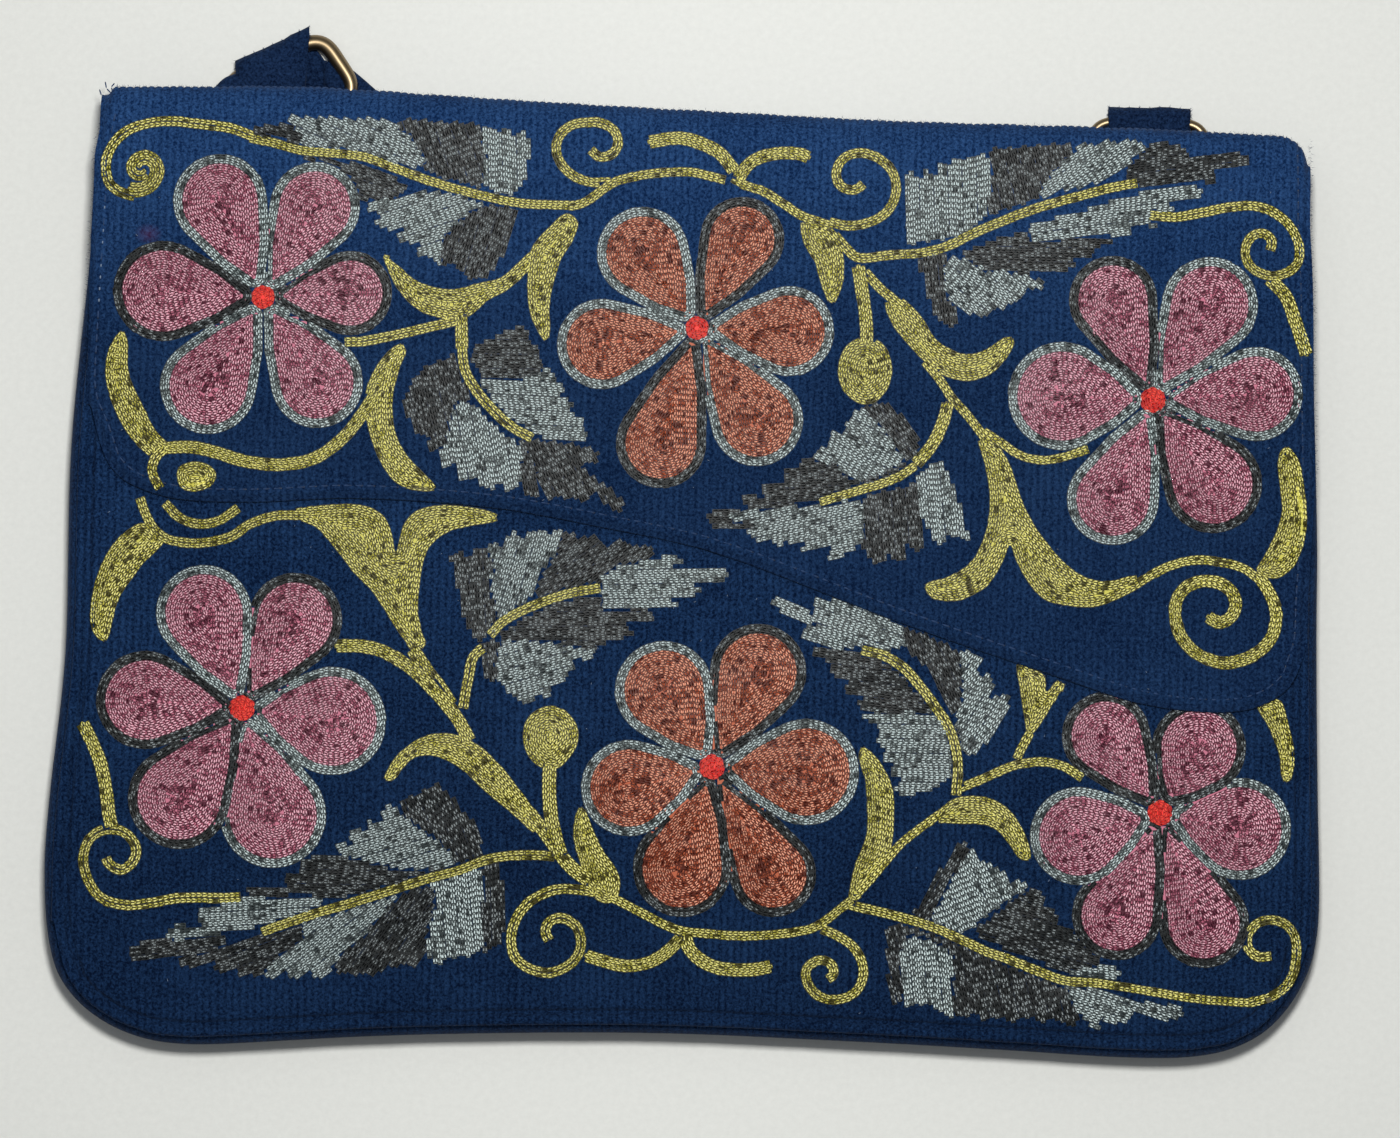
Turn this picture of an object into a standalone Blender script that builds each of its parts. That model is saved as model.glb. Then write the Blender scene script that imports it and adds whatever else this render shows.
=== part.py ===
"""Corduroy shoulder bag with a front flap, a cloth strap and two wire rings.

The bag lies on its back. X runs across it, Y runs from its bottom up to the top fold and
Z is up from the floor. Every length is in metres. The tables give places as shares of the
named sizes, measured from the middle of the bag and from its bottom line.
"""
import math
from collections import namedtuple

import bmesh
import bpy
import numpy as np
from mathutils import Vector, geometry

# Body
BODY_WIDTH = 0.3192
BODY_HEIGHT = 0.2345
SEAM_HEIGHT = 0.0175
CROWN = 0.0040
CROWN_REACH = 0.065
EDGE_ROLL = 0.0014
EDGE_ROLL_REACH = 0.0090
PANEL_THICKNESS = 0.0018
GUSSET_THICKNESS = 0.0016
GUSSET_BULGE = 0.0026
FRONT_TUCK = 0.0023
BACK_TUCK = 0.0018
MOUTH_SHARE = 0.895
BACK_SEAM_SHARE = 0.870

# Flap
FLAP_SHARE = 0.9643
FLAP_OFFSET = 0.0021
FLAP_THICKNESS = 0.0022
BEND_REACH = 0.0085

# Strap, tabs and rings
STRAP_WIDTH = 0.0235
STRAP_THICKNESS = 0.0018
STRAP_CROSS_UP = 0.0280
LEG_BEND_SHARE = 0.955
MITRE_LENGTH = 0.0176
LOOP_EXIT = 0.0026
END_DROP_SHARE = 0.65
END_LEVEL_SHARE = 0.10
TAB_WIDTH = 0.0210
TAB_THICKNESS = 0.0014
WIRE_DIAMETER = 0.0032
LOOP_SHARE = 0.8723
LOOP_WIDTH = STRAP_WIDTH * LOOP_SHARE
RING_EASE = 0.0018
RING_FLARE = 0.0050
RING_DEPTH = 0.0180
RING_CORNER = 0.0050

# Fit and mesh fineness
GAP = 0.0003
FLAP_GAP = 0.0005
SEAM_EASE = 0.0008
RELIEF_MARGIN = 0.0012
RELIEF_RAMP = 0.0085
GRID = 0.0145
EDGE_STEPS = 74
FLAP_COLUMNS = 34
FLAP_CROWDING = 0.55
FLAP_ROWS = 13
BEND_STEPS = 7
GUSSET_STEPS = 6
LOOP_STEPS = 7
WIRE_SIDES = 8
CORNER_STEPS = 4
CURVE_PARTS = 12

HALF_WIDTH = BODY_WIDTH / 2
FLAP_WIDTH = BODY_WIDTH * FLAP_SHARE
HALF_FLAP = FLAP_WIDTH / 2
WIRE_RADIUS = WIRE_DIAMETER / 2
LOOP_RADIUS = WIRE_RADIUS + GAP
RING_TOP_WIDTH = LOOP_WIDTH + WIRE_DIAMETER + 2 * RING_EASE
RING_BASE_WIDTH = max(RING_TOP_WIDTH, TAB_WIDTH + WIRE_DIAMETER + 2 * RING_EASE) + RING_FLARE

# The body's edge seen from the front, from the top left round the bottom to the top right
EdgePoint = namedtuple("EdgePoint", "across up")
BODY_EDGE = [
    EdgePoint(-0.942, 0.955), EdgePoint(-0.955, 0.816), EdgePoint(-0.976, 0.621),
    EdgePoint(-0.976, 0.408), EdgePoint(-0.996, 0.248), EdgePoint(-1.000, 0.151),
    EdgePoint(-0.978, 0.061), EdgePoint(-0.910, 0.015), EdgePoint(-0.827, -0.007),
    EdgePoint(-0.747, -0.009), EdgePoint(-0.435, 0.007), EdgePoint(-0.063, 0.016),
    EdgePoint(0.254, 0.013), EdgePoint(0.505, 0.008), EdgePoint(0.720, 0.003),
    EdgePoint(0.845, 0.009), EdgePoint(0.927, 0.037), EdgePoint(0.980, 0.091),
    EdgePoint(0.998, 0.150), EdgePoint(0.990, 0.300), EdgePoint(0.982, 0.464),
    EdgePoint(0.979, 0.603), EdgePoint(0.968, 0.838), EdgePoint(0.955, 0.955),
]

# The flap's lower edge: how far up it ends, across the flap's own half width
FlapPoint = namedtuple("FlapPoint", "across up")
FLAP_END = [
    FlapPoint(-1.000, 0.690), FlapPoint(-0.995, 0.645), FlapPoint(-0.980, 0.622),
    FlapPoint(-0.955, 0.599), FlapPoint(-0.923, 0.5855), FlapPoint(-0.850, 0.572),
    FlapPoint(-0.720, 0.571), FlapPoint(-0.561, 0.578), FlapPoint(-0.325, 0.571),
    FlapPoint(-0.162, 0.554), FlapPoint(0.005, 0.534), FlapPoint(0.131, 0.507),
    FlapPoint(0.339, 0.458), FlapPoint(0.597, 0.405), FlapPoint(0.720, 0.381),
    FlapPoint(0.837, 0.374), FlapPoint(0.905, 0.379), FlapPoint(0.955, 0.398),
    FlapPoint(0.985, 0.426), FlapPoint(1.000, 0.480),
]

# The top fold's outermost line across the flap's half width
FOLD_LINE = [
    FlapPoint(-1.000, 0.948), FlapPoint(-0.988, 0.975), FlapPoint(-0.970, 0.997),
    FlapPoint(-0.940, 1.008), FlapPoint(-0.807, 1.012), FlapPoint(-0.660, 1.014),
    FlapPoint(-0.296, 1.005), FlapPoint(0.014, 0.999), FlapPoint(0.309, 0.994),
    FlapPoint(0.797, 0.992), FlapPoint(0.935, 0.984), FlapPoint(0.968, 0.974),
    FlapPoint(0.988, 0.957), FlapPoint(1.000, 0.930),
]

# The flap's two sides at a few heights, as shares of its half width
FlapSide = namedtuple("FlapSide", "up left right")
FLAP_SIDES = [
    FlapSide(0.30, 1.000, 1.000), FlapSide(0.60, 1.000, 1.001), FlapSide(0.70, 1.000, 0.997),
    FlapSide(0.84, 0.993, 0.990), FlapSide(0.91, 0.990, 0.981), FlapSide(1.02, 0.990, 0.973),
]

# How the back of the bag lifts off the floor over the rings, all the way across
Lift = namedtuple("Lift", "up height")
LIFT_TO_TABS = STRAP_THICKNESS + 2 * TAB_THICKNESS + 4 * GAP
LIFT_TO_RINGS = 2 * STRAP_THICKNESS + 2 * TAB_THICKNESS + WIRE_DIAMETER + 6 * GAP
BACK_LIFTS = [
    Lift(0.790, 0.0), Lift(0.865, LIFT_TO_TABS), Lift(0.915, LIFT_TO_RINGS),
    Lift(1.100, LIFT_TO_RINGS),
]

# Soft dents and swells of the front: place and reach on the body, depth of the crown
Dent = namedtuple("Dent", "across up reach_across reach_up depth")
DENTS = [
    Dent(-0.62, 0.72, 0.30, 0.16, 0.22), Dent(0.05, 0.70, 0.26, 0.22, -0.18),
    Dent(0.62, 0.66, 0.32, 0.18, 0.20), Dent(-0.20, 0.30, 0.28, 0.20, 0.20),
    Dent(0.45, 0.22, 0.24, 0.14, -0.16), Dent(-0.66, 0.26, 0.22, 0.16, -0.14),
]

# One strap end and its ring: the ring's upper bar, its turn in the plane of the floor,
# the leg of the strap that leaves it and the end that comes back over it. Places across
# are shares of the flap's half width, and end_rise is 1 where the end lies on the tab
StrapEnd = namedtuple("StrapEnd", "side bar_across bar_up turn leg_across end_across end_up end_rise")
STRAP_ENDS = [
    StrapEnd("left", -0.705, 1.0535, 27.0, -0.586, -0.723, 0.9350, 1.0),
    StrapEnd("right", 0.728, 1.0110, 0.0, 0.725, 0.725, 0.9480, 0.0),
]

Station = namedtuple("Station", "x y z half_width shear")


def clear_scene():
    for item in list(bpy.data.objects):
        bpy.data.objects.remove(item, do_unlink=True)


def material(name, colour, roughness, metallic=0.0):
    """A plain Principled material in the sub-part's own colour."""
    result = bpy.data.materials.new(name)
    result.use_nodes = True
    shader = result.node_tree.nodes["Principled BSDF"]
    shader.inputs["Base Color"].default_value = (*colour, 1.0)
    shader.inputs["Roughness"].default_value = roughness
    shader.inputs["Metallic"].default_value = metallic
    return result


def add_object(name, points, faces, look, flat_angle=40.0):
    """One closed mesh as a named object, smooth but for its corners."""
    mesh = bpy.data.meshes.new(name)
    mesh.from_pydata([tuple(point) for point in points], [], faces)
    mesh.validate()
    work = bmesh.new()
    work.from_mesh(mesh)
    bmesh.ops.recalc_face_normals(work, faces=work.faces)
    work.to_mesh(mesh)
    work.free()
    mesh.shade_smooth()
    mesh.set_sharp_from_angle(angle=math.radians(flat_angle))
    mesh.materials.append(look)
    result = bpy.data.objects.new(name, mesh)
    bpy.context.scene.collection.objects.link(result)
    return result


def smooth_step(value):
    value = min(1.0, max(0.0, value))
    return value * value * (3 - 2 * value)


def through_rows(rows, at, key, column):
    """A smooth value between the rows of a table, with flat tangents at the turns."""
    keys = [getattr(row, key) for row in rows]
    values = [getattr(row, column) for row in rows]
    at = min(max(at, keys[0]), keys[-1])
    low = max(0, min(len(keys) - 2, int(np.searchsorted(keys, at, side="right")) - 1))
    slopes = []
    for index in (low, low + 1):
        before, after = max(0, index - 1), min(len(keys) - 1, index + 1)
        slopes.append((values[after] - values[before]) / (keys[after] - keys[before]))
    span = keys[low + 1] - keys[low]
    t = (at - keys[low]) / span
    return ((2 * t ** 3 - 3 * t ** 2 + 1) * values[low] + (t ** 3 - 2 * t ** 2 + t) * span * slopes[0]
            + (3 * t ** 2 - 2 * t ** 3) * values[low + 1] + (t ** 3 - t ** 2) * span * slopes[1])


def curve_through(points, steps):
    """A smooth open curve through a few points, sampled at even lengths."""
    points = [Vector(point) for point in points]
    padded = [2 * points[0] - points[1]] + points + [2 * points[-1] - points[-2]]
    fine = []
    for index in range(1, len(padded) - 2):
        a, b, c, d = padded[index - 1:index + 3]
        for part in range(CURVE_PARTS):
            t = part / CURVE_PARTS
            fine.append(0.5 * (2 * b + (c - a) * t + (2 * a - 5 * b + 4 * c - d) * t ** 2
                               + (3 * b - a - 3 * c + d) * t ** 3))
    fine.append(points[-1])
    lengths = np.concatenate([[0], np.cumsum([(q - p).length for p, q in zip(fine, fine[1:])])])
    result = []
    for length in np.linspace(0, lengths[-1], steps + 1):
        result.append(Vector(tuple(np.interp(length, lengths, [p[axis] for p in fine])
                                   for axis in range(len(points[0])))))
    return result


def body_edge():
    """The outline of the body as an open line, round the bottom from one top corner to the other."""
    rows = [(row.across * HALF_WIDTH, row.up * BODY_HEIGHT) for row in BODY_EDGE]
    return curve_through(rows, EDGE_STEPS)


def inset(line, distance):
    """The open outline moved towards the inside of the body."""
    result = []
    for index, point in enumerate(line):
        along = line[min(index + 1, len(line) - 1)] - line[max(index - 1, 0)]
        inward = Vector((-along.y, along.x)).normalized()
        result.append(point + inward * distance)
    return result


def below(line, height):
    """The part of the outline that lies under a height, with both ends on it."""
    result = []
    for before, after in zip(line, line[1:]):
        inside = before.y < height
        if inside:
            result.append(before)
        if inside != (after.y < height):
            share = (height - before.y) / (after.y - before.y)
            result.append(before.lerp(after, share))
    return result


EDGE = body_edge()
EDGE_X = np.array([point.x for point in EDGE])
EDGE_Y = np.array([point.y for point in EDGE])


def edge_distance(x, y):
    """How far a point of the front lies from the body's edge."""
    dx, dy = np.diff(EDGE_X), np.diff(EDGE_Y)
    t = ((x - EDGE_X[:-1]) * dx + (y - EDGE_Y[:-1]) * dy) / (dx * dx + dy * dy)
    t = np.clip(t, 0, 1)
    return float(np.min(np.hypot(EDGE_X[:-1] + t * dx - x, EDGE_Y[:-1] + t * dy - y)))


def front_height(x, y):
    """The top of the front panel: rolled at its seam and crowned, with soft dents."""
    away_from_edge = edge_distance(x, y)
    swell = smooth_step(away_from_edge / CROWN_REACH)
    height = swell
    for dent in DENTS:
        away = math.hypot((x / HALF_WIDTH - dent.across) / dent.reach_across,
                          (y / BODY_HEIGHT - dent.up) / dent.reach_up)
        height += swell * dent.depth * math.exp(-away * away)
    return SEAM_HEIGHT + EDGE_ROLL * smooth_step(away_from_edge / EDGE_ROLL_REACH) + CROWN * height


def strap_runs():
    """The boxes that the strap takes up under the back, with the height that each needs."""
    left = STRAP_ENDS[0].leg_across * HALF_FLAP
    right = STRAP_ENDS[1].leg_across * HALF_FLAP
    half = STRAP_WIDTH / 2
    low, high = STRAP_CROSS_UP - half, STRAP_CROSS_UP + half
    one, two = STRAP_THICKNESS + GAP, 2 * STRAP_THICKNESS + 2 * GAP
    top = BACK_SEAM_SHARE * BODY_HEIGHT + half
    return [(left - half, left + half, low, top, one), (right - half, right + half, low, top, one),
            (left - half, right + half, low, high, two)]


RUNS = strap_runs()


def back_height(x, y):
    """The underside of the back: flat on the floor, raised over the strap and the rings."""
    lifts = [row.up * BODY_HEIGHT for row in BACK_LIFTS]
    result = float(np.interp(y, lifts, [row.height for row in BACK_LIFTS]))
    result = max(result, EDGE_ROLL * (1 - smooth_step(edge_distance(x, y) / EDGE_ROLL_REACH)))
    for x_low, x_high, y_low, y_high, height in RUNS:
        away = max(x_low - x, x - x_high, y_low - y, y - y_high, 0.0)
        share = 1 - max(0.0, away - RELIEF_MARGIN) / RELIEF_RAMP
        result = max(result, height * max(0.0, share))
    return result


def inside_outline(point, outline):
    inside = False
    for before, after in zip(outline, outline[1:] + outline[:1]):
        if (before.y > point.y) != (after.y > point.y):
            cross = before.x + (point.y - before.y) / (after.y - before.y) * (after.x - before.x)
            inside ^= point.x < cross
    return inside


def outline_distance(point, outline):
    best = 1.0
    for before, after in zip(outline, outline[1:] + outline[:1]):
        along = after - before
        t = max(0.0, min(1.0, (point - before).dot(along) / max(along.length_squared, 1e-12)))
        best = min(best, (before + along * t - point).length)
    return best


def sheet(name, outline, lines, lower, upper, look):
    """A cloth sheet over a flat outline, between a lower and an upper height.

    The lines are creases that the triangles follow.
    """
    points = list(outline)
    edges = [(index, (index + 1) % len(outline)) for index in range(len(outline))]
    for line in lines:
        inner = [point for point in line if inside_outline(point, outline)
                 and outline_distance(point, outline) > GRID / 8]
        for before, after in zip(inner, inner[1:]):
            if (after - before).length < GRID * 1.3:
                points += [before, after]
                edges.append((len(points) - 2, len(points) - 1))
    xs = [point.x for point in outline]
    ys = [point.y for point in outline]
    crease_points = points[len(outline):]
    for x in np.arange(min(xs) + GRID / 2, max(xs), GRID):
        for y in np.arange(min(ys) + GRID / 2, max(ys), GRID):
            point = Vector((x, y))
            near = any((point - other).length < GRID * 0.45 for other in crease_points)
            if not near and inside_outline(point, outline) and outline_distance(point, outline) > GRID * 0.4:
                points.append(point)
    flat, _, triangles, *_ = geometry.delaunay_2d_cdt(points, edges, [], 1, 1e-6)
    top = [(p.x, p.y, upper(p.x, p.y)) for p in flat]
    bottom = [(p.x, p.y, lower(p.x, p.y)) for p in flat]
    count = len(flat)
    faces = [tuple(face) for face in triangles]
    faces += [tuple(count + index for index in reversed(face)) for face in triangles]
    directed = {(face[i], face[(i + 1) % 3]) for face in triangles for i in range(3)}
    for a, b in directed:
        if (b, a) not in directed:
            faces.append((b, a, count + a, count + b))
    return add_object(name, top + bottom, faces, look)


def grid_solid(name, outer, inner, look):
    """A bent sheet from two matching grids of points, its outer and its inner side."""
    rows, columns = len(outer), len(outer[0])
    points = [point for row in outer for point in row] + [point for row in inner for point in row]
    half = rows * columns

    def at(row, column, side):
        return side * half + row * columns + column

    faces = []
    for row in range(rows - 1):
        for column in range(columns - 1):
            quad = [(row, column), (row, column + 1), (row + 1, column + 1), (row + 1, column)]
            faces.append(tuple(at(r, c, 0) for r, c in quad))
            faces.append(tuple(at(r, c, 1) for r, c in reversed(quad)))
    rim = [(0, c) for c in range(columns)] + [(r, columns - 1) for r in range(1, rows)]
    rim += [(rows - 1, c) for c in range(columns - 2, -1, -1)] + [(r, 0) for r in range(rows - 2, 0, -1)]
    for (r, c), (r2, c2) in zip(rim, rim[1:] + rim[:1]):
        faces.append((at(r2, c2, 0), at(r, c, 0), at(r, c, 1), at(r2, c2, 1)))
    return add_object(name, points, faces, look)


def crease_line(start, end):
    """A straight crease as short steps."""
    start, end = Vector(start), Vector(end)
    steps = max(1, math.ceil((end - start).length / (GRID * 1.1)))
    return [start.lerp(end, step / steps) for step in range(steps + 1)]


def relief_lines():
    """The creases of the back: round each strap run, inside and outside its ramp."""
    result = []
    for x_low, x_high, y_low, y_high, _ in RUNS:
        for grow in (RELIEF_MARGIN, RELIEF_MARGIN + RELIEF_RAMP):
            corners = [(x_low - grow, y_low - grow), (x_high + grow, y_low - grow),
                       (x_high + grow, y_high + grow), (x_low - grow, y_high + grow)]
            for start, end in zip(corners, corners[1:] + corners[:1]):
                result.append(crease_line(start, end))
    for row in BACK_LIFTS:
        height = row.up * BODY_HEIGHT
        result.append(crease_line((-HALF_WIDTH, height), (HALF_WIDTH, height)))
    return result


def back_panel(look):
    top = BACK_SEAM_SHARE * BODY_HEIGHT - GAP / 2
    outline = below(inset(EDGE, BACK_TUCK), top)
    lines = relief_lines() + [inset(EDGE, EDGE_ROLL_REACH)]
    return sheet("back_panel", outline, lines, back_height,
                 lambda x, y: back_height(x, y) + PANEL_THICKNESS, look)


def front_panel(look):
    outline = below(inset(EDGE, FRONT_TUCK), MOUTH_SHARE * BODY_HEIGHT)
    return sheet("front_panel", outline, [inset(EDGE, EDGE_ROLL_REACH)],
                 lambda x, y: front_height(x, y) - PANEL_THICKNESS, front_height, look)


def gusset(look):
    """The strip round both sides and the bottom, bulging out between the two seams."""
    line = below(EDGE, BACK_SEAM_SHARE * BODY_HEIGHT)
    seams = inset(line, GUSSET_BULGE)
    outer, inner = [], []
    for edge, seam in zip(line, seams):
        inward = (seam - edge).normalized()
        foot = seam + inward * GUSSET_THICKNESS
        low = max(back_height(edge.x, edge.y), back_height(foot.x, foot.y)) + PANEL_THICKNESS + SEAM_EASE
        high = SEAM_HEIGHT - PANEL_THICKNESS - GAP
        outside, inside = [], []
        for step in range(GUSSET_STEPS + 1):
            t = step / GUSSET_STEPS
            depth = GUSSET_BULGE * (1 - math.sin(math.pi * t))
            point = edge + inward * depth
            back = edge + inward * (depth + GUSSET_THICKNESS)
            height = low + (high - low) * t
            outside.append((point.x, point.y, height))
            inside.append((back.x, back.y, height))
        outer.append(outside)
        inner.append(inside)
    return grid_solid("gusset", outer, inner, look)


def flap_x(across, y):
    """Where a column of the flap crosses a height, between its two sides."""
    up = y / BODY_HEIGHT
    column = "right" if across > 0 else "left"
    reach = through_rows(FLAP_SIDES, up, "up", column)
    return FLAP_OFFSET + across * reach * FLAP_WIDTH / 2


def flap(look):
    """The flap: from the back seam round the top fold and down over the front."""
    turn = np.linspace(-math.pi / 2, math.pi / 2, FLAP_COLUMNS + 1)
    columns = np.sin(turn) * FLAP_CROWDING + turn / (math.pi / 2) * (1 - FLAP_CROWDING)
    outer = [[] for _ in range(3 + BEND_STEPS + FLAP_ROWS)]
    inner = [[] for _ in outer]
    start = BACK_SEAM_SHARE * BODY_HEIGHT + GAP / 2
    level = BACK_LIFTS[2].up * BODY_HEIGHT
    for across in columns:
        top = through_rows(FOLD_LINE, across, "across", "up") * BODY_HEIGHT
        end = through_rows(FLAP_END, across, "across", "up") * BODY_HEIGHT
        crest = top - BEND_REACH
        x = flap_x(across, crest)
        low = back_height(x, crest)
        high = front_height(x, crest) + FLAP_GAP + FLAP_THICKNESS
        row = 0
        middle = min(level, (start + crest) / 2)
        for y in (start, middle):
            height = back_height(x, y)
            outer[row].append((flap_x(across, y), y, height))
            inner[row].append((flap_x(across, y), y, height + FLAP_THICKNESS))
            row += 1
        for angle in np.linspace(-math.pi / 2, math.pi / 2, BEND_STEPS + 1):
            centre = (low + high) / 2
            for side, shrink in ((outer, 0.0), (inner, FLAP_THICKNESS)):
                y = crest + (BEND_REACH - shrink) * math.cos(angle)
                z = centre + ((high - low) / 2 - shrink) * math.sin(angle)
                side[row].append((x, y, z))
            row += 1
        for step in range(1, FLAP_ROWS + 1):
            y = crest + (end - crest) * step / FLAP_ROWS
            x = flap_x(across, y)
            height = front_height(x, y) + FLAP_GAP
            outer[row].append((x, y, height + FLAP_THICKNESS))
            inner[row].append((x, y, height))
            row += 1
    return grid_solid("flap", outer, inner, look)


def band(name, stations, thickness, look, columns=4):
    """A flat band swept along its stations, its ends and folds slanted by their shear."""
    outer, inner = [], []
    for index, station in enumerate(stations):
        before, after = stations[max(0, index - 1)], stations[min(len(stations) - 1, index + 1)]
        along = Vector((after.y - before.y, after.z - before.z)).normalized()
        normal = Vector((-along.y, along.x)) * thickness / 2
        outside, inside = [], []
        for column in range(columns + 1):
            u = (2 * column / columns - 1) * station.half_width
            y = station.y + station.shear * u
            outside.append((station.x + u, y + normal.x, station.z + normal.y))
            inside.append((station.x + u, y - normal.x, station.z - normal.y))
        outer.append(outside)
        inner.append(inside)
    return grid_solid(name, outer, inner, look)


def wrap(x, y, z, radius, half_width, shear):
    """The half turn of a band round a bar, on the bar's far side, from below to above."""
    stretch = math.hypot(1.0, shear)
    result = []
    for angle in np.linspace(-math.pi / 2, math.pi / 2, LOOP_STEPS + 1):
        result.append(Station(x, y + radius * math.cos(angle) * stretch, z + radius * math.sin(angle),
                              half_width, shear))
    return result


def bar_place(end):
    """The middle of the ring's upper bar."""
    return Vector((end.bar_across * HALF_FLAP, end.bar_up * BODY_HEIGHT - LOOP_RADIUS,
                   STRAP_THICKNESS + LOOP_RADIUS))


def ring_axes(end):
    """The ring's directions: along its bars, and from the upper bar down to the base bar."""
    turn = math.radians(end.turn)
    rise = (TAB_THICKNESS + GAP) / RING_DEPTH
    level = math.sqrt(1 - rise * rise)
    along = Vector((math.cos(turn), math.sin(turn), 0.0))
    down = Vector((math.sin(turn) * level, -math.cos(turn) * level, rise))
    return along, down


def ring(end, look):
    """A bent wire: a short upper bar, flaring sides and a longer base bar."""
    along, down = ring_axes(end)
    middle = bar_place(end)
    corners = [(-RING_TOP_WIDTH / 2, 0.0), (RING_TOP_WIDTH / 2, 0.0),
               (RING_BASE_WIDTH / 2, RING_DEPTH), (-RING_BASE_WIDTH / 2, RING_DEPTH)]
    corners = [Vector(corner) for corner in corners]
    path = []
    for index, corner in enumerate(corners):
        back = (corners[index - 1] - corner).normalized()
        ahead = (corners[(index + 1) % 4] - corner).normalized()
        opening = back.angle(ahead)
        reach = RING_CORNER / math.tan(opening / 2)
        centre = corner + (back + ahead).normalized() * RING_CORNER / math.sin(opening / 2)
        first, last = corner + back * reach - centre, corner + ahead * reach - centre
        for step in range(CORNER_STEPS + 1):
            path.append(centre + first.slerp(last, step / CORNER_STEPS).normalized() * RING_CORNER)
    up = along.cross(down)
    points, faces = [], []
    for index, place in enumerate(path):
        heading = (path[(index + 1) % len(path)] - path[index - 1]).normalized()
        across = along * heading.y - down * heading.x
        across.normalize()
        for side in range(WIRE_SIDES):
            angle = 2 * math.pi * (side + 0.5) / WIRE_SIDES
            offset = across * math.cos(angle) + up * math.sin(angle)
            points.append(middle + along * place.x + down * place.y + offset * WIRE_RADIUS)
    count = len(path)
    for index in range(count):
        for side in range(WIRE_SIDES):
            a, b = index * WIRE_SIDES, (index + 1) % count * WIRE_SIDES
            c = (side + 1) % WIRE_SIDES
            faces.append((a + side, a + c, b + c, b + side))
    return add_object("ring_" + end.side, points, faces, look, flat_angle=80.0)


def tab(end, look):
    """A folded tab under the flap that holds the ring's base bar."""
    along, down = ring_axes(end)
    base = bar_place(end) + down * RING_DEPTH
    shear = math.tan(math.radians(end.turn))
    radius = LOOP_RADIUS + TAB_THICKNESS / 2
    half = TAB_WIDTH / 2
    loop_half = half * math.cos(math.radians(end.turn))
    sewn = BACK_SEAM_SHARE * BODY_HEIGHT + 2 * GAP
    low = STRAP_THICKNESS + GAP + TAB_THICKNESS / 2
    high = low + TAB_THICKNESS + GAP
    stations = [Station(base.x, sewn, low, half, 0.0)]
    stations += [Station(base.x, (sewn + base.y) / 2 - shear * half / 2, low, half, shear / 2)]
    stations += wrap(base.x, base.y, base.z, radius, loop_half, shear)
    stations += [Station(base.x, base.y - LOOP_EXIT, base.z + radius, loop_half, shear)]
    stations += [Station(base.x, sewn + (base.y - sewn) * 0.25, (3 * high + base.z + radius) / 4, half,
                         shear / 4)]
    stations += [Station(base.x, sewn, high, half, 0.0)]
    return band("tab_" + end.side, stations, TAB_THICKNESS, look)


def strap_leg(end, look):
    """One side of the strap: its mitred lower end, the leg, the loop round the ring, the end."""
    bar = bar_place(end)
    shear = math.tan(math.radians(end.turn))
    half = STRAP_WIDTH / 2
    loop_half = LOOP_WIDTH / 2 * math.cos(math.radians(end.turn))
    radius = LOOP_RADIUS + STRAP_THICKNESS / 2
    leg_x = end.leg_across * HALF_FLAP
    end_x = end.end_across * HALF_FLAP
    end_y = end.end_up * BODY_HEIGHT
    flat = STRAP_THICKNESS / 2
    mitre = -1.0 if end.side == "left" else 1.0
    bend_y = BODY_HEIGHT * LEG_BEND_SHARE
    stations = [Station(leg_x, STRAP_CROSS_UP, flat, half, mitre),
                Station(leg_x, STRAP_CROSS_UP + MITRE_LENGTH, flat, half, 0.0),
                Station(leg_x, (STRAP_CROSS_UP + bend_y) / 2, flat, half, 0.0),
                Station(leg_x, bend_y, flat, half, 0.0)]
    if end.turn:
        stations.append(Station((leg_x + bar.x) / 2, (bend_y + bar.y) / 2, flat, (half + loop_half) / 2,
                                shear / 2))
    stations += wrap(bar.x, bar.y, bar.z, radius, loop_half, shear)
    over = STRAP_THICKNESS + 2 * TAB_THICKNESS + WIRE_DIAMETER + 4 * GAP + flat
    rest = STRAP_THICKNESS + GAP + flat
    end_z = over if end.end_rise else rest
    stations.append(Station(bar.x, bar.y - LOOP_EXIT, bar.z + radius, loop_half, shear))
    stations.append(Station((bar.x + end_x) / 2, bar.y + (end_y - bar.y) * END_DROP_SHARE,
                            end_z + (bar.z + radius - end_z) * END_LEVEL_SHARE, loop_half, shear * 0.3))
    stations.append(Station(end_x, end_y, end_z, loop_half, 0.0))
    return band("strap_leg_" + end.side, stations, STRAP_THICKNESS, look)


def strap_cross(look):
    """The run between the two legs, folded over each of them and lying on the floor between."""
    half = STRAP_WIDTH / 2
    left = STRAP_ENDS[0].leg_across * HALF_FLAP
    right = STRAP_ENDS[1].leg_across * HALF_FLAP
    slope = STRAP_WIDTH
    overlap = STRAP_THICKNESS * 0.05
    high, low = STRAP_THICKNESS - overlap, 0.0
    rows = [(left, 1.0, high), (left + half * 1.02, 0.0, high), (left + half + slope, 0.0, low),
            ((left + right) / 2, 0.0, low), (right - half - slope, 0.0, low),
            (right - half * 1.02, 0.0, high), (right, -1.0, high)]
    outer, inner = [], []
    for x, mitre, height in rows:
        outside, inside = [], []
        for column in range(5):
            u = (column / 2 - 1) * half
            place = (x - mitre * u, STRAP_CROSS_UP + u)
            outside.append((*place, height + STRAP_THICKNESS))
            inside.append((*place, height))
        outer.append(outside)
        inner.append(inside)
    return grid_solid("strap_cross", outer, inner, look)


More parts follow.
